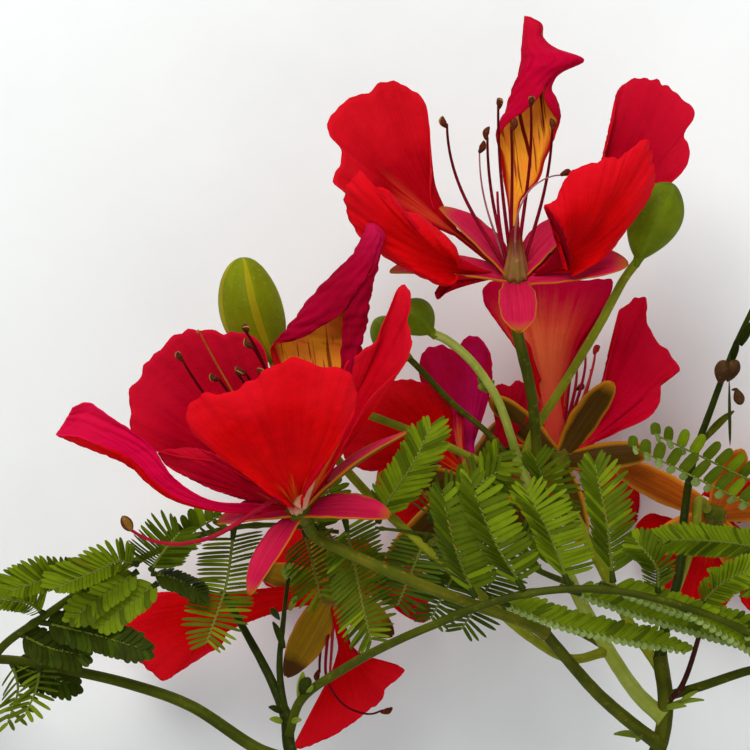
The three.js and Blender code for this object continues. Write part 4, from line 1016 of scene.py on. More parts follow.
# Each bloom: its heart, its axis, its throat's look and height, and its sepals' bluntness and looks. A fan
# is a petal with its margin in the photograph, clockwise. A rolled petal's stations are explained at
# rolled_petal. A plain petal has two handles and a tip from the heart, the way its inner side faces, its
# width and its cup. A sepal has its tip, face and width, and its own bluntness if it isn't the bloom's. A
# stamen has its anther's place and its look. The bent and the curved stamen and the beak, which is a long
# tip of the throat, follow routes of their own.
BLOOMS = {
    "upper": {
        "heart": (37.8, 25.7, 2), "axis": (0, 0.9, 0.42), "throat": "throat_cone", "cone": 14.5,
        "blunt": 0.35, "sepal_looks": GREEN_SEPALS,
        "fans": [
            dict(claw_end=(440, 220, -6), front="flame", back="scarlet", bulge=-4, seed=11, claw=1.0,
                 neck=0.9, margin=[
                (430, 230, -4), (400, 222, 0), (365, 206, 2), (345, 193, 2), (333, 181, 1), (339, 166, 0),
                (342, 150, -1), (331, 137, -2), (328, 124, -4), (335, 109, -6), (351, 98, -8),
                (369, 93, -9), (381, 82, -11), (394, 80, -12), (409, 89, -13), (423, 100, -13),
                (429, 124, -12), (430, 153, -10), (430, 180, -8), (431, 198, -7), (435, 210, -6)]),
            dict(claw_end=(450, 266, 2), front="scarlet", back="crimson", bulge=7, seed=12, claw=0.8,
                 teeth=0.02, margin=[
                (458, 272, 8), (454, 281, 8), (444, 286, 8), (428, 280, 9), (404, 268, 10), (386, 258, 11),
                (368, 245, 12), (355, 230, 13), (347, 212, 15), (345, 194, 18), (351, 178, 21),
                (361, 171, 22), (366, 182, 22), (375, 187, 22), (389, 191, 22), (393, 203, 21),
                (404, 211, 20), (420, 215, 18), (432, 225, 17), (445, 235, 15), (456, 248, 13),
                (460, 262, 10)]),
            dict(claw_end=(580, 250, -4), front="crimson_deep", back="scarlet", bulge=-4, seed=13, margin=[
                (590, 215, -8), (600, 172, -12), (605, 154, -13), (610, 132, -15), (615, 112, -17),
                (616, 94, -18), (626, 82, -19), (644, 78, -18), (657, 79, -17), (665, 88, -15),
                (680, 95, -12), (690, 104, -10), (693, 118, -8), (685, 133, -8), (689, 150, -6),
                (686, 166, -5), (675, 179, -4), (657, 192, -3), (635, 215, -3), (606, 240, -3)]),
            dict(claw_end=(567, 262, 4), front="scarlet", back="crimson", bulge=7, seed=14, claw=0.8,
                 teeth=0.016, margin=[
                (562, 266, 10), (557, 246, 13), (549, 220, 17), (544, 205, 19), (551, 203, 20),
                (556, 199, 21), (565, 179, 23), (575, 168, 24), (590, 164, 24), (603, 160, 24),
                (608, 156, 24), (617, 160, 23), (626, 153, 22), (636, 145, 21), (644, 139, 20),
                (650, 147, 18), (653, 163, 16), (654, 184, 13), (644, 207, 10), (628, 227, 8),
                (611, 250, 7), (595, 260, 7), (582, 268, 8), (569, 274, 9)]),
            # A small fold in painted shade
            dict(claw_end=(452, 276, 2), front="crimson_dark", back="crimson", bulge=0.6, seed=17,
                 claw=0.3, margin=[
                (455, 282, 4), (448, 290, 5), (438, 299, 5), (435, 294, 5), (439, 286, 6), (444, 279, 6)]),
            # A petal's inner fold in painted shade
            dict(claw_end=(568, 270, 7), front="crimson_dark", back="crimson", bulge=0.3, seed=15,
                 claw=0.4, ruffle=0.1, pleat=0.1, margin=[
                (564, 264, 15), (558, 246, 18), (550, 222, 22), (545, 206, 24), (553, 214, 26),
                (562, 228, 26), (568, 244, 24), (571, 260, 19)])],
        "rolled": [
            dict(inner="throat", outer="rose", seed=16, stations=[
                (512, 264, 519, 264, 2, 0.9, 0.9), (510, 232, 519, 232, 2, 1.1, 1.1),
                (508, 202, 520, 202, 1, 1.2, 1.2), (504, 178, 538, 180, 1, 1.35, 1.4),
                (502, 158, 545, 160, 1, 1.6, 1.45), (497, 139, 552, 143, 2, 1.9, 1.5),
                (500, 122, 558, 125, 2, 2.35, 1.7), (506, 111, 560, 114, 2, 2.8, 2.35),
                (510, 98, 556, 99, 2, 3.35, 2.65), (514, 86, 551, 87, 2, 3.8, 2.35),
                (519, 73, 560, 73, 2, 4.0, 2.2), (522, 60, 583, 60, 2, 4.0, 2.2),
                (522, 50, 556, 49, 2, 4.0, 2.2), (523, 38, 543, 38, 2, 3.9, 2.3),
                (524, 27, 542, 25, 2, 3.8, 2.4), (525, 16, 531, 18, 2, 3.6, 2.6)])],
        "sepals": [
            ((0.4, -14.3, 18), (0, 0.79, 0.61), 10.3, 1.0), ((-33.6, 2.2, 1), (0.05, 0.8, 0.58), 10),
            ((-20, 19.5, -4), (0.6, 0.5, 0.7), 10.5), ((17, 18, -6), (-0.5, 0.5, 0.8), 11),
            ((30, 4.2, 4), (0, 0.55, 0.83), 11.5, 0.6)],
        "stamens": [
            ((446, 118, 16), "thread"), ((479, 143, 17), "thread_pale"), ((487, 131, 19), "thread"),
            ((498, 100, 14), "thread"), ((515, 85, 2), "style"), ((511, 121, 18), "thread"),
            ((531, 98, 14), "thread"), ((553, 122, 15), "thread"), ((497, 186, 12), "red_thread")],
        "bent": ("thread_pale", 0.34, [
            (516, 262, 6), (515, 240, 10), (518, 213, 13), (529, 191, 15), (541, 181, 15), (553, 176, 14),
            (563, 175, 13)]),
    },
    "left": {
        "heart": (-20, -36.5, 16), "axis": (-0.35, 0.6, 0.7), "throat": "throat_cream", "cone": 4.0,
        "blunt": 0.3, "sepal_looks": GREEN_SEPALS,
        "fans": [
            dict(claw_end=(296, 500, 23), front="scarlet", back="crimson", bulge=5, seed=21, pleat=0.32,
                 margin=[
                (288, 503, 23), (275, 491, 25), (255, 481, 28), (235, 465, 31), (219, 453, 33),
                (204, 442, 35), (191, 430, 37), (186, 417, 39), (189, 406, 40), (196, 398, 41),
                (207, 393, 42), (219, 394, 42), (235, 391, 43), (245, 382, 44), (258, 378, 45),
                (263, 369, 46), (276, 366, 46), (286, 359, 47), (306, 360, 47), (321, 366, 46),
                (339, 368, 45), (352, 378, 44), (357, 394, 42), (354, 414, 40), (342, 430, 37),
                (327, 445, 34), (316, 463, 30), (306, 481, 26), (302, 506, 23)]),
            dict(claw_end=(282, 499, 16), front="crimson_deep", back="scarlet", bulge=-6, seed=22, margin=[
                (250, 480, 15), (212, 461, 14), (194, 458, 13), (166, 453, 11), (143, 445, 9),
                (129, 427, 8), (131, 412, 8), (130, 389, 8), (139, 379, 8), (145, 363, 8), (157, 353, 8),
                (163, 346, 8), (176, 335, 8), (191, 330, 9), (212, 330, 10), (225, 334, 11),
                (242, 332, 12), (258, 340, 13), (265, 353, 14), (268, 366, 15), (276, 420, 16),
                (286, 472, 17)]),
            dict(claw_end=(272, 498, 12), front="crimson_deep", back="crimson", bulge=1, seed=23, margin=[
                (256, 500, 11), (240, 498, 11), (212, 489, 10), (184, 476, 9), (164, 463, 9),
                (160, 452, 10), (176, 448, 11), (205, 450, 12), (245, 468, 14), (268, 486, 14)]),
            dict(claw_end=(318, 482, 18), front="crimson", back="scarlet", bulge=-4, seed=24, margin=[
                (318, 450, 18), (335, 400, 18), (347, 363, 18), (363, 350, 18), (379, 339, 17),
                (381, 329, 17), (392, 304, 17), (399, 287, 17), (405, 284, 17), (409, 291, 18),
                (411, 306, 19), (407, 321, 20), (411, 339, 20), (410, 352, 21), (403, 366, 21),
                (386, 382, 21), (368, 402, 21), (355, 424, 20), (341, 450, 19), (327, 475, 18)])],
        "rolled": [
            dict(inner="throat", outer="magenta", seed=25, crinkle=0.45, stations=[
                (300, 500, 308, 500, 15, 0.8, 0.8), (296, 455, 322, 455, 14, 1.0, 1.4),
                (284, 405, 344, 405, 14, 1.3, 2.2), (272, 352, 359, 356, 15, 1.5, 2.5),
                (280, 338, 361, 341, 16, 2.6, 2.55), (290, 325, 364, 328, 16, 3.0, 2.7),
                (301, 311, 367, 314, 17, 3.4, 2.8), (317, 291, 370, 297, 17, 3.55, 2.7),
                (336, 273, 374, 279, 17, 3.7, 2.5), (352, 256, 378, 262, 17, 3.85, 2.4),
                (360, 242, 381, 247, 17, 3.85, 2.4), (365, 232, 384, 235, 17, 3.8, 2.4),
                (367, 224, 377, 223, 17, 3.6, 2.6)]),
            dict(inner="pink_red", outer="scarlet", seed=26, stations=[
                (290, 515, 290, 508, 16, 1.2, 1.2), (255, 513, 256, 504, 15, 1.8, 1.2),
                (217, 511, 222, 503, 16, 2.3, 1.1), (189, 505, 199, 496, 16, 2.5, 1.0),
                (166, 496, 182, 485, 16, 2.6, 0.9), (148, 483, 167, 470, 17, 2.6, 0.9),
                (133, 468, 153, 450, 17, 2.6, 0.9), (115, 458, 136, 434, 18, 2.55, 0.9),
                (94, 450, 110, 417, 18, 2.5, 0.9), (72, 441, 88, 403, 18, 2.3, 0.8),
                (56, 434, 72, 408, 18, 1.6, 0.8)])],
        "sepals": [
            ((-13.4, -21.7, 4), (-0.5, 0.4, 0.75), 8.8), ((24, -1, 5), (0, 0.8, 0.6), 11.5, 0.5),
            ((29, 21.3, -5), (-0.8, 0.45, 0.3), 8), ((-22, -3, -6), (-0.1, 0.8, 0.55), 11),
            ((-4, 17, -17), (0, 0.75, 0.65), 9)],
        "stamens": [
            ((196, 326, 30), "style"), ((179, 355, 32), "thread"), ((243, 326, 31), "thread"),
            ((249, 340, 34), "thread"), ((215, 373, 33), "thread"), ((235, 369, 36), "thread"),
            ((242, 367, 32), "thread"), ((259, 372, 30), "thread_pale")],
        "curved": [
            (279, 497, 19), (257, 510, 23), (236, 524, 25), (212, 537, 26), (180, 544, 26), (158, 542, 26),
            (143, 537, 26), (131, 530, 26), (123, 517, 26)],
        "beak": [
            (300, 505, 22), (308, 487, 24), (316, 470, 23), (323, 457, 20)],
    },
    "right": {
        "heart": (51.5, -24.2, -35), "axis": (0.1, 0.5, -0.86), "throat": "throat_cone", "blunt": 0.75,
        "sepal_looks": BROWN_SEPALS,
        "fans": [
            dict(claw_end=(548, 384, -37), front="peach_fan", back="scarlet", bulge=-2, seed=31, claw=2.8,
                 margin=[
                (541, 380, -37), (534, 362, -38), (529, 345, -40), (518, 333, -42), (505, 323, -43),
                (496, 315, -44), (486, 306, -44), (482, 292, -45), (490, 283, -46), (520, 281, -47),
                (560, 281, -48), (600, 279, -48), (612, 281, -48), (606, 306, -47), (596, 325, -45),
                (586, 338, -43), (572, 365, -40), (562, 384, -38)]),
            dict(claw_end=(591, 437, -37), front="ruby", back="scarlet", bulge=-3, seed=32, margin=[
                (600, 410, -38), (604, 386, -39), (607, 368, -40), (613, 347, -42), (618, 327, -43),
                (619, 311, -44), (630, 303, -44), (636, 297, -44), (644, 296, -44), (647, 304, -43),
                (646, 321, -42), (652, 331, -41), (656, 340, -41), (667, 351, -40), (673, 358, -40),
                (680, 371, -40), (670, 375, -40), (662, 381, -40), (661, 392, -40), (659, 404, -40),
                (650, 416, -40), (636, 424, -40), (621, 430, -39), (612, 435, -39), (600, 440, -38)])],
        "plain": [
            (((8, -1, -12), (20, -6, -25)), (24, -16, -42.5), (-0.3, -0.3, -0.9), 22, (0.5, 0.4)),
            (((-2, -4, -12), (-4, -10, -26)), (-5, -12, -44), (0.2, 0.8, -0.4), 26, (0.5, 0.4)),
            (((-2, 6, -14), (-8, 14, -30)), (-13, 18, -44), (0.3, -0.6, -0.6), 20, *FOLDED)],
        "sepals": [
            ((14.5, 22, 3), (-0.2, 0.2, -0.95), 9), ((25, 3, 3), (-0.1, 0, -1), 8),
            ((-19.5, 18, 3), (0.2, 0.1, -0.97), 8), ((-23, 2, 2), (0.1, 0, -1), 8),
            ((6, -22.5, 3), (0, 0.15, -0.98), 8)],
        "stamens": [
            ((596, 349, -46), "pink_thread"), ((586, 352, -50), "red_thread"),
            ((577, 362, -48), "red_thread"), ((572, 366, -52), "red_thread"),
            ((592, 366, -50), "red_thread"), ((577, 384, -58), "thread")],
    },
    "low_right": {
        "heart": (95, -39, -44), "axis": (0.45, -0.35, -0.83), "throat": "throat_cone", "blunt": 0.7,
        "sepal_looks": ORANGE_SEPALS,
        "plain": [
            (((-4, -3, -7), (-12, -8, -16)), (-20, -14, -26), (0.3, 0.3, -0.9), 19, (0.6, 0.7)),
            (((8, 6, -6), (22, 12, -14)), (33, 8, -28), (-0.3, -0.2, -0.93), 22, (0.6, 0.6)),
            (((8, -6, -6), (20, -18, -14)), (26, -30, -28), (-0.3, 0.3, -0.9), 24, (0.6, 0.6)),
            (((0, -8, -7), (-3, -20, -18)), (-2, -32, -30), (0, 0.4, -0.9), 22, (0.6, 0.6)),
            (((4, 5, -8), (8, 9, -20)), (12, 10, -33.2), (0, -0.6, -0.6), 20, *FOLDED)],
        "sepals": [
            ((-28, 14, 4), (0, 0.1, -1), 9), ((8, 18, 2), (0, -0.1, -1), 8.5),
            ((24, 4, 0), (-0.1, 0, -1), 8.5), ((10, -20, 0), (0, 0.2, -1), 8.5),
            ((-19, -11, 2), (0, 0.2, -1), 8.5)],
        "stamens": [
            ((735, 519, -74), "thread"), ((749, 543, -72), "thread"), ((718, 543, -75), "thread"),
            ((732, 564, -73), "thread")],
    },
    "low_left": {
        "heart": (-12, -61.3, -50), "axis": (-0.1, -0.8, -0.55), "throat": "throat_cone", "blunt": 0.3,
        "sepal_looks": YELLOW_SEPALS,
        "fans": [
            dict(claw_end=(228, 602, -56), front="scarlet", back="crimson", bulge=2, seed=51, claw=3.2,
                 margin=[
                (226, 634, -57), (221, 645, -57), (207, 654, -57), (191, 664, -57), (177, 673, -57),
                (164, 681, -57), (156, 676, -58), (147, 668, -58), (134, 654, -58), (125, 640, -58),
                (119, 628, -58), (130, 612, -57), (143, 597, -57), (165, 592, -57), (187, 594, -56),
                (212, 596, -56)]),
            dict(claw_end=(345, 652, -48), front="scarlet", back="crimson", bulge=2, seed=52, claw=1.6,
                 neck=0.95, margin=[
                (358, 657, -47), (371, 658, -46), (405, 670, -44), (396, 680, -45), (386, 688, -46),
                (380, 702, -47), (365, 713, -48), (336, 734, -50), (294, 748, -52), (311, 719, -53),
                (332, 690, -52), (339, 672, -50)])],
        "plain": [
            (((10, 0, -4), (20, 0, -13)), (27, -4, -24.5), (-0.2, 0.3, 0.9), 18, (0.5, 0.4)),
            (((-6, 4, -8), (-14, 10, -17)), (-19, 14, -27), (0.5, -0.3, -0.8), 22, (0.5, 0.4)),
            (((3, 4, -10), (6, 8, -19)), (8, 14, -27.4), (-0.1, -0.7, -0.6), 20, *FOLDED)],
        "sepals": [
            ((-13, -23.5, 2), (0.2, 0.1, -0.97), 11), ((17, -12, 2), (-0.1, 0.1, -1), 10),
            ((-22, 6, -4), (0, 0.2, -0.98), 9), ((17, 10, -7), (0, 0, -1), 9),
            ((-4, 19, -12), (0, -0.4, -0.9), 9)],
        "stamens": [
            ((329, 688, -59), "pink_thread"), ((343, 684, -62), "thread"), ((319, 677, -64), "thread"),
            ((352, 698, -65), "thread")],
        "bent": ("thread", 0.5, [
            (331, 612, -54), (327, 644, -50), (326, 675, -46), (333, 692, -42), (347, 707, -41),
            (370, 714, -41), (383, 710, -41)]),
    },
    "middle": {
        "heart": (26.7, -30, -24), "axis": (-0.45, 0.35, -0.82), "throat": "throat_cone", "blunt": 0.6,
        "sepal_looks": BROWN_SEPALS,
        "fans": [
            dict(claw_end=(452, 455, -24), front="scarlet", back="crimson", bulge=-2, seed=61, margin=[
                (436, 462, -24), (404, 466, -23), (364, 470, -23), (344, 456, -23), (346, 422, -23),
                (356, 398, -23), (368, 388, -23), (385, 382, -23), (410, 380, -24), (435, 388, -24),
                (450, 405, -25), (456, 430, -25)]),
            dict(claw_end=(466, 450, -27), front="plum", back="scarlet", bulge=-3, seed=62, margin=[
                (448, 430, -29), (430, 400, -31), (419, 372, -33), (425, 350, -34), (440, 345, -34),
                (455, 350, -34), (468, 336, -35), (480, 338, -34), (490, 355, -33), (492, 380, -32),
                (485, 410, -30), (475, 435, -28)]),
            dict(claw_end=(460, 456, -22), front="peach_fan", back="scarlet", bulge=0.5, seed=63, claw=0.6,
                 margin=[
                (453, 448, -22), (452, 430, -22), (453, 417, -22), (458, 411, -22), (463, 417, -22),
                (465, 432, -22), (464, 448, -22)]),
            dict(claw_end=(508, 440, -33), front="crimson_deep", back="scarlet", bulge=-1, seed=64,
                 claw=1.0, margin=[
                (496, 425, -34), (493, 405, -35), (494, 387, -36), (502, 384, -36), (509, 386, -36),
                (516, 381, -36), (524, 383, -36), (529, 400, -35), (526, 422, -34)])],
        "plain": [
            (((-5, -6, -6), (-8, -14, -16)), (-10, -20, -30), (0.2, 0.6, -0.7), 20, (0.5, 0.5)),
            (((-8, 0, -12), (-18, -2, -26)), (-26, -4, -46), (0.6, 0.1, -0.6), 26, (0.5, 0.4)),
            (((0, 4, -14), (0, 8, -32)), (-4, 12, -55.4), (-0.5, 0.3, 0), 20, *FOLDED)],
        "sepals": [
            ((-24, -24, 0), (0, 0.1, -1), 9.5), ((-26, 2, 4), (0, 0, -1), 8.5),
            ((10, 18, -13), (0, 0, -1), 8), ((18, -14, -5), (0, 0, -1), 8),
            ((-9, 18, -13), (0, 0, -1), 8)],
        "stamens": [
            ((407, 443, -56), "thread"), ((392, 454, -54), "thread"), ((385, 434, -50), "thread"),
            ((420, 459, -57), "thread")],
    },
}

BRIGHT = ("leaf_bright", "leaf_mid", "leaf_olive")
MIXED = ("leaf_mid", "leaf_bright", "leaf_deep")
COOL = ("leaf_cool", "leaf_mid", "leaf_deep")
# SHADED and PAINTED_SHADE paint shade onto pinnae that lie in shadow, with the darkest greens
SHADED = ("leaf_dark", "leaf_deep")
PAINTED_SHADE = ("leaf_dark",)

# Each leaf: its rachis, then for each side the reach of its first and last pinna, the way they face,
# how they hold their leaflets and their greens. The pinnae whose path shows in the photograph follow it
LEAVES = {
    "leaf_front": {
        "radii": (1.3, 0.7), "pairs": 8, "span": (0.31, 0.95),
        "rachis": [(-23.5, -98, -7.5), (-20, -88, -4), (-8, -79, 1), (6.5, -70.5, 14), (17.5, -65.5, 19),
                   (25.5, -62, 21), (39, -58, 23), (51.5, -56.5, 24), (63.5, -57, 24), (75.5, -59.5, 23),
                   (87, -63, 21), (100.5, -69, 17), (115, -77.5, 10), (130, -89, -2), (143, -102.5, -18)],
        "above": ((-10, 28, 3), (8, 20, -4), (0, 0, 1), "turned", MIXED),
        "below": ((47, -12, -18), (12, -30, -16), (0, 0.25, 1), "broad", BRIGHT),
        "seen": {
            ("above", 0): ("broken", MIXED, [(475, 597, 22), (457, 555, 26), (442, 495, 26)]),
            ("above", 1): ("broken", MIXED, [(523, 589, 24), (494, 541, 28), (470, 482, 27)]),
            ("above", 2): ("turned", BRIGHT, [(568, 583, 24), (547, 530, 28), (527, 493, 27)]),
            ("above", 3): ("raised", MIXED, [(613, 582, 24), (606, 520, 28), (595, 466, 26)]),
            ("above", 4): ("dense", MIXED, [(658, 591, 22), (655, 565, 29), (636, 541, 30)]),
            ("above", 5): ("dense", BRIGHT, [(700, 604, 18), (724, 582, 25), (756, 566, 26)]),
            ("below", 0): ("broad", BRIGHT, [(490, 598, 21), (567, 627, 14), (683, 651, 4)]),
            ("below", 1): ("broad", BRIGHT, [(560, 587, 22), (640, 615, 14), (760, 650, 2)]),
            ("below", 2): ("broad", BRIGHT, [(600, 584, 22), (690, 616, 14), (780, 640, 4)])},
    },
    "leaf_right": {
        "radii": (1.4, 0.6), "pairs": 5, "span": (0.56, 0.97),
        "rachis": [(79.5, -88, -15), (88.5, -85, -11), (99.5, -81, -8), (113, -77, -6), (124, -69, -6),
                   (131, -58, -7), (134, -46, -10), (134, -35, -14), (131, -25, -20)],
        "above": ((-44, 6, 14), (-60, 27, 12), (0, -0.2, 1), "round", BRIGHT),
        "below": ((26, 8, -12), (16, 24, -14), (0, -0.2, 1), "round", MIXED),
        "seen": {
            ("above", 0): ("dense", BRIGHT, [(839, 618, -6), (790, 592, 2), (715, 576, 6)]),
            ("above", 1): ("dense", BRIGHT, [(858, 585, -7), (800, 560, 0), (750, 546, 4), (690, 540, 5),
                                             (637, 541, 4)]),
            ("above", 2): ("round", MIXED, [(867, 550, -9), (800, 531, -3), (750, 505, 2), (690, 475, 4),
                                             (633, 447, 4)]),
            ("above", 3): ("round", MIXED, [(868, 513, -13), (810, 504, -6), (750, 480, -2), (700, 456, 0),
                                             (656, 435, 0)]),
            ("above", 4): ("round", MIXED, [(860, 475, -19), (810, 462, -12), (758, 446, -8)])},
    },
    "leaf_left": {
        "radii": (1.4, 0.6), "pairs": 7, "span": (0.28, 0.96),
        "rachis": [(-107, -111, -38.5), (-113, -101, -33), (-110, -88, -24), (-102.5, -75, -15),
                   (-90.5, -66, -9), (-78, -57.5, -5), (-66, -51, -3), (-52.5, -45, -4), (-38.5, -41.5, -8),
                   (-26, -41, -12), (-10, -43, -16)],
        "above": ((-27, 10, 6), (6, 18, 6), (0, -0.2, 1), "facing", BRIGHT),
        "below": ((27, -7, -3), (4, -30, 2), (0, 0.2, 1), "open", MIXED),
        "seen": {
            ("above", 1): ("comb", BRIGHT, [(43, 613, -8), (28, 603, -3), (-6, 597, 0)]),
            ("above", 2): ("comb", BRIGHT, [(87, 590, -4), (66, 580, 2), (45, 580, 5), (12, 590, 7)]),
            ("above", 3): ("comb", BRIGHT, [(137, 564, -2), (118, 561, 4), (95, 571, 7), (58, 587, 8)]),
            ("above", 4): ("fan", MIXED, [(151, 570, 0), (164, 551, 4), (179, 533, 6)]),
            ("above", 5): ("lobes", MIXED, [(178, 548, -2), (190, 533, 2), (218, 517, 4)]),
            ("below", 0): ("shaded", SHADED, [(20, 634, -12), (50, 648, -10), (84, 655, -8)]),
            ("below", 1): ("shaded", SHADED, [(41, 622, -9), (92, 634, -6), (146, 650, -4)]),
            ("below", 2): ("under", BRIGHT, [(138, 571, -6), (104, 594, -4), (74, 618, -3)]),
            ("below", 3): ("under", BRIGHT, [(158, 583, -7), (132, 600, -6), (103, 624, -5)]),
            ("below", 4): ("folded", PAINTED_SHADE, [(152, 573, -4), (176, 579, -2), (203, 592, 0)]),
            ("below", 5): ("open", MIXED, [(234, 528, -8), (226, 585, -4), (207, 642, -2)]),
            ("below", 6): ("hanging", MIXED, [(304, 531, -14), (312, 560, -10), (320, 596, -8)])},
    },
    "leaf_low_left": {
        "radii": (1.8, 0.9), "pairs": 5, "span": (0.5, 0.94),
        "rachis": [(-20, -105.5, -10), (-31, -102.5, -12), (-50.5, -90.5, -15), (-67, -85, -19),
                   (-86.5, -81, -24), (-103.5, -79, -32), (-121.5, -82, -46),
                   (-138, -88, -63), (-150, -97, -78)],
        "above": ((-18, 20, -12), (-26, 10, -2), (-0.2, 0, 1), "facing", SHADED),
        "below": ((-14, -24, -10), (-4, -28, 4), (-0.2, 0.2, 1), "open", MIXED),
        "seen": {
            ("above", 0): ("shaded", SHADED, [(12, 664, -30), (40, 674, -26), (74, 684, -24)]),
            ("below", 0): ("chevron", MIXED, [(40, 669, -24), (36, 690, -20), (26, 713, -18)]),
            ("below", 1): ("chevron", MIXED, [(12, 663, -30), (18, 690, -24), (8, 722, -22)])},
    },
    "leaf_middle": {
        "radii": (0.9, 0.4), "pairs": 4, "span": (0.4, 0.97),
        "rachis": [(54, -57.5, -20), (46, -54, -12), (36, -49, -4), (24, -45, 2),
                   (12, -42.5, 5), (0, -41, 6)],
        "above": ((6, 26, 2), (11, 22, 8), (0, 0, 1), "turned", MIXED),
        "below": ((-12, -20, -6), (-8, -24, -8), (0, 0.2, 1), "open", COOL),
        "seen": {
            ("above", 0): ("turned", MIXED, [(508, 555, -4), (540, 522, 2), (547, 496, 6), (535, 460, 8)]),
            ("above", 2): ("spread", MIXED, [(430, 520, 4), (440, 505, 8), (468, 492, 10), (497, 472, 10)]),
            ("above", 3): ("flat", BRIGHT, [(378, 522, 6), (390, 498, 10), (413, 464, 12), (430, 428, 12)]),
            ("below", 3): ("hanging", MIXED, [(345, 519, 6), (353, 558, 3), (365, 615, 2), (371, 640, 0)])},
    },
}

# Small things on the stems: a bract or a bud, from its foot to its tip, half its width and its look
DETAILS = {
    "peduncle_upper": [
        ("bract", (487, 392, -17), (478, 378, -14), 1.1, "bract"),
        ("bract", (488, 391, -17), (494, 381, -13), 0.9, "bract"),
        ("bud", (484, 389, -15), (480, 385, -13), 1.0, "bract")],
    "main_stem": [
        ("bract", (664, 709, -14), (686, 706, -9), 0.9, "bract"),
        ("bract", (668, 706, -14), (704, 700, -10), 0.7, "bract"),
        ("bract", (680, 702, -12), (698, 691, -9), 0.6, "bract"),
        ("bract", (642, 737, -40), (614, 734, -36), 1.0, "bract"),
        ("bract", (640, 739, -40), (646, 728, -36), 0.8, "bract"),
        ("bud", (636, 742, -38), (641, 733, -35), 0.9, "bract")],
    "raceme_axis": [
        ("bract", (704, 440, -24), (734, 411, -20), 1.1, "olive_stem"),
        ("bud", (720, 385, -20), (724, 360, -16), 2.2, "dry_bud"),
        ("bud", (727, 382, -20), (737, 360, -15), 1.9, "dry_bud"),
        ("bud", (729, 376, -20), (730, 446, -19), 0.42, "dark_stem"),
        ("bud", (731, 390, -19), (738, 389, -17), 0.4, "dry_bud"),
        ("bud", (736, 388, -18), (741, 405, -16), 1.5, "dry_bud"),
        ("bract", (733, 360, -19), (737, 338, -14), 1.1, "dark_stem"),
        ("bract", (740, 345, -18), (752, 322, -13), 1.4, "dark_stem")],
    "young_raceme": [
        ("bud", (287, 580, -12), (284, 566, -9), 1.1, "bract"),
        ("bud", (289, 578, -12), (290, 563, -8), 1.2, "bract"),
        ("bud", (291, 581, -12), (297, 569, -9), 1.0, "bract"),
        ("bud", (280, 620, -9), (271, 608, -5), 0.9, "dark_stem"),
        ("bract", (284, 648, -8), (273, 622, -4), 1.0, "dark_stem"),
        ("bract", (290, 610, -10), (297, 596, -6), 0.8, "bract")],
    "left_stem": [
        ("bract", (300, 702, -5), (303, 672, 0), 1.3, "bract"),
        ("bud", (300, 694, -4), (309, 678, 1), 1.6, "dark_stem"),
        ("bud", (303, 690, -4), (312, 686, 0), 1.3, "bract"),
        ("bract", (281, 712, -7), (269, 707, -4), 0.9, "dark_stem"),
        ("bract", (282, 722, -7), (270, 719, -4), 0.9, "bract"),
        ("bract", (292, 722, -5), (301, 720, -2), 0.9, "bract")],
}


# Putting it together

# A leaf's stalk swells by so many millimetres at its pinnae. Its last pair is shorter and each pinna bows
# up by these shares of their length
KNOT = 0.25
LAST_SHORTER, PINNA_BOW = 0.35, 0.06

# A throat's height where the bloom gives none, and a beak's radii, in millimetres
USUAL_CONE = 6.5
BEAK_FOOT, BEAK_TIP = 2.0, 0.3


def build_bloom(name, bloom):
    node = "bloom_" + name
    heart = vec(*bloom["heart"])
    axis = unit(vec(*bloom["axis"]))
    petals = Soup()
    for fan in bloom.get("fans", []):
        fan_petal(petals, heart, **fan)
    for rolled in bloom.get("rolled", []):
        rolled_petal(petals, **rolled)
    for number, petal in enumerate(bloom.get("plain", [])):
        plain_petal(petals, heart, petal, 70 + number)
    petals.piece(node + "_petals", "petal", node)
    cup = Soup()
    for tip, face, width, *blunt in bloom["sepals"]:
        sepal(cup, heart, tip, face, width, bloom["sepal_looks"], *(blunt or [bloom["blunt"]]))
    calyx(cup, heart, axis, bloom.get("cone", USUAL_CONE), bloom["throat"])
    if "beak" in bloom:
        beak = even(curve_points(photo(bloom["beak"])), 30)
        tube(cup, beak, np.linspace(BEAK_FOOT, BEAK_TIP, 30), bloom["throat"], 20)
    cup.piece(node + "_sepals", "petal", node)
    threads = Soup()
    for place, look in bloom["stamens"]:
        stamen(threads, heart, axis, place, look)
    if "bent" in bloom:
        look, radius, points = bloom["bent"]
        filament(threads, even(curve_points(photo(points)), 40), look, radius)
    if "curved" in bloom:
        long_stamen(threads, bloom["curved"])
    threads.piece(node + "_stamens", "petal", node)


def build_stem(name, start, stop, look, slot, route):
    soup = Soup()
    bark(soup, name, route, start, stop, look)
    for kind, foot, tip, half, paint in DETAILS.get(name, []):
        foot, tip = photo([foot, tip])
        if kind == "bract":
            bract(soup, foot, tip, half, paint)
        else:
            bead(soup, foot, tip - foot, np.linalg.norm(tip - foot), half, paint, 12, 12, 0.6)
    soup.piece(name + "_skin", slot, name)


def build_stalk(name, start, stop, look, carries, route):
    """A flower stalk, led to the bloom or the bud that it carries."""
    if carries in BLOOMS:
        heart = vec(*BLOOMS[carries]["heart"])
        axis = unit(vec(*BLOOMS[carries]["axis"]))
        route = route + [heart - axis * 11, heart - axis * CALYX_DEPTH]
    elif carries in BUDS:
        foot, tip = (vec(*place) for place in BUDS[carries][:2])
        route = route + [foot - unit(tip - foot) * 0.3]
    build_stem(name, start, stop, look, "green_stem", route)


def build_bud(name, foot, tip, thick, fullest, looks, *shape):
    soup = Soup()
    bud(soup, foot, tip, thick, fullest, looks, len(name), *shape)
    soup.piece(name + "_sepals", "bud", name)


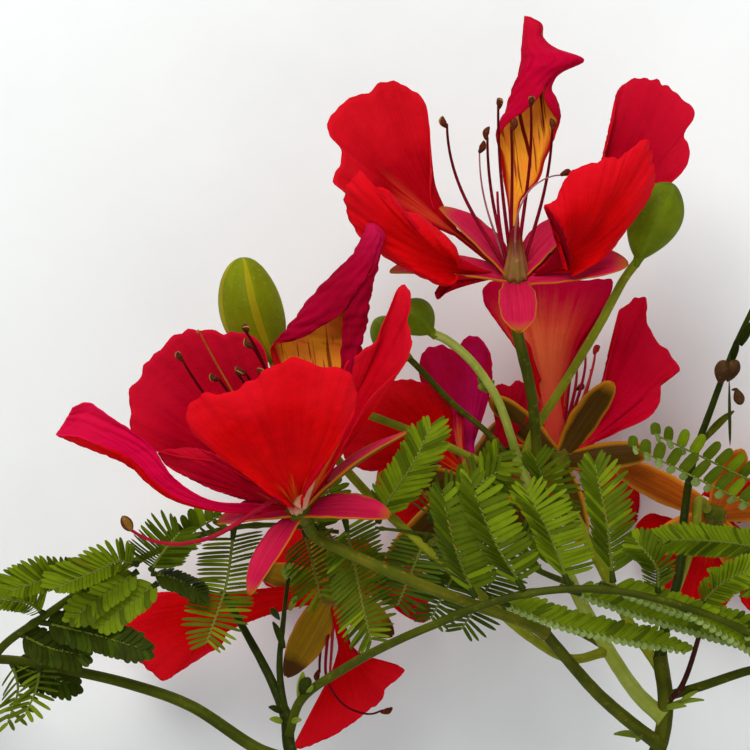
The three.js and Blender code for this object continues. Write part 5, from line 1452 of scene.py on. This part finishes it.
def build_leaf(name, leaf):
    """A leaf by the solids' rule, with finer leaflets."""
    rng = np.random.default_rng(sum(map(ord, name)))
    path = even(curve_points(leaf["rachis"], 20), 240)
    share = np.linspace(0, 1, len(path))
    thick, thin = leaf["radii"]
    first_pair, last_pair = leaf["span"]
    radii = thick + (thin - thick) * share
    ribs, blades = Soup(), Soup()
    for pair in range(leaf["pairs"]):
        turn = pair / (leaf["pairs"] - 1)
        at = first_pair + (last_pair - first_pair) * turn
        radii = radii + KNOT * np.exp(-((share - at) * 110) ** 2)
        base = path[int(round(at * (len(path) - 1)))]
        size = 1 - LAST_SHORTER * turn * turn
        for side in ("above", "below"):
            first, last, face, hold, greens = leaf[side]
            reach = (vec(*first) * (1 - turn) + vec(*last) * turn) * size
            bow = vec(0, 0, PINNA_BOW * np.linalg.norm(reach))
            route = [base, base + reach / 2 + bow, base + reach]
            if (side, pair) in leaf["seen"]:
                hold, greens, pixels = leaf["seen"][side, pair]
                route = photo(pixels)
            pinna(blades, ribs, route, face, hold, rng, greens)
    tube(ribs, path, radii, "leaf_stem", 14)
    blades.piece(name + "_leaflets", "leaf", name)
    ribs.piece(name + "_rachis", "leaf", name)


def build_camera():
    data = bpy.data.cameras.new("camera")
    data.lens = LENS
    data.sensor_width = SENSOR_WIDTH
    data.clip_start = 0.05
    data.clip_end = 20
    camera = bpy.data.objects.new("camera", data)
    camera.location = (PLANE + vec(0, 0, CAMERA_HEIGHT)) * MM
    bpy.context.collection.objects.link(camera)
    bpy.context.scene.camera = camera


def area_light(name, place, size, power, colour):
    data = bpy.data.lights.new(name, "AREA")
    data.shape = "DISK"
    data.size = size
    data.energy = power
    data.color = colour
    lamp = bpy.data.objects.new(name, data)
    lamp.location = place
    back = unit(vec(*place) - vec(*LIGHT_TARGET))
    side = unit(np.cross(vec(0, 1, 0), back))
    lamp.rotation_euler = Matrix([side, np.cross(back, side), back]).transposed().to_euler()
    bpy.context.collection.objects.link(lamp)


def build_room():
    mesh = bpy.data.meshes.new("floor")
    corners = [(x * FLOOR_REACH, y * FLOOR_REACH, 0) for x, y in ((-1, -1), (1, -1), (1, 1), (-1, 1))]
    mesh.from_pydata(corners, [], [(0, 1, 2, 3)])
    mesh.materials.append(LOOKS["floor"])
    floor = bpy.data.objects.new("floor", mesh)
    bpy.context.collection.objects.link(floor)
    area_light("key", (-0.25, 0.85, 1.1), 0.8, 11.5, (1.0, 0.98, 0.95))
    area_light("fill", (0.45, -0.55, 1.3), 1.2, 4.2, (0.95, 0.98, 1.0))
    world = bpy.data.worlds.new("world")
    world.use_nodes = True
    background = world.node_tree.nodes["Background"]
    background.inputs["Color"].default_value = (0.93, 0.97, 1.0, 1)
    background.inputs["Strength"].default_value = 0.5
    bpy.context.scene.world = world
    bpy.context.scene.view_settings.view_transform = "Standard"


build_camera()
build_room()
for row in STEMS:
    build_stem(*row)
for row in STALKS:
    build_stalk(*row)
for name, row in BUDS.items():
    build_bud(name, *row)
for name, bloom in BLOOMS.items():
    build_bloom(name, bloom)
for name, leaf in LEAVES.items():
    build_leaf(name, leaf)
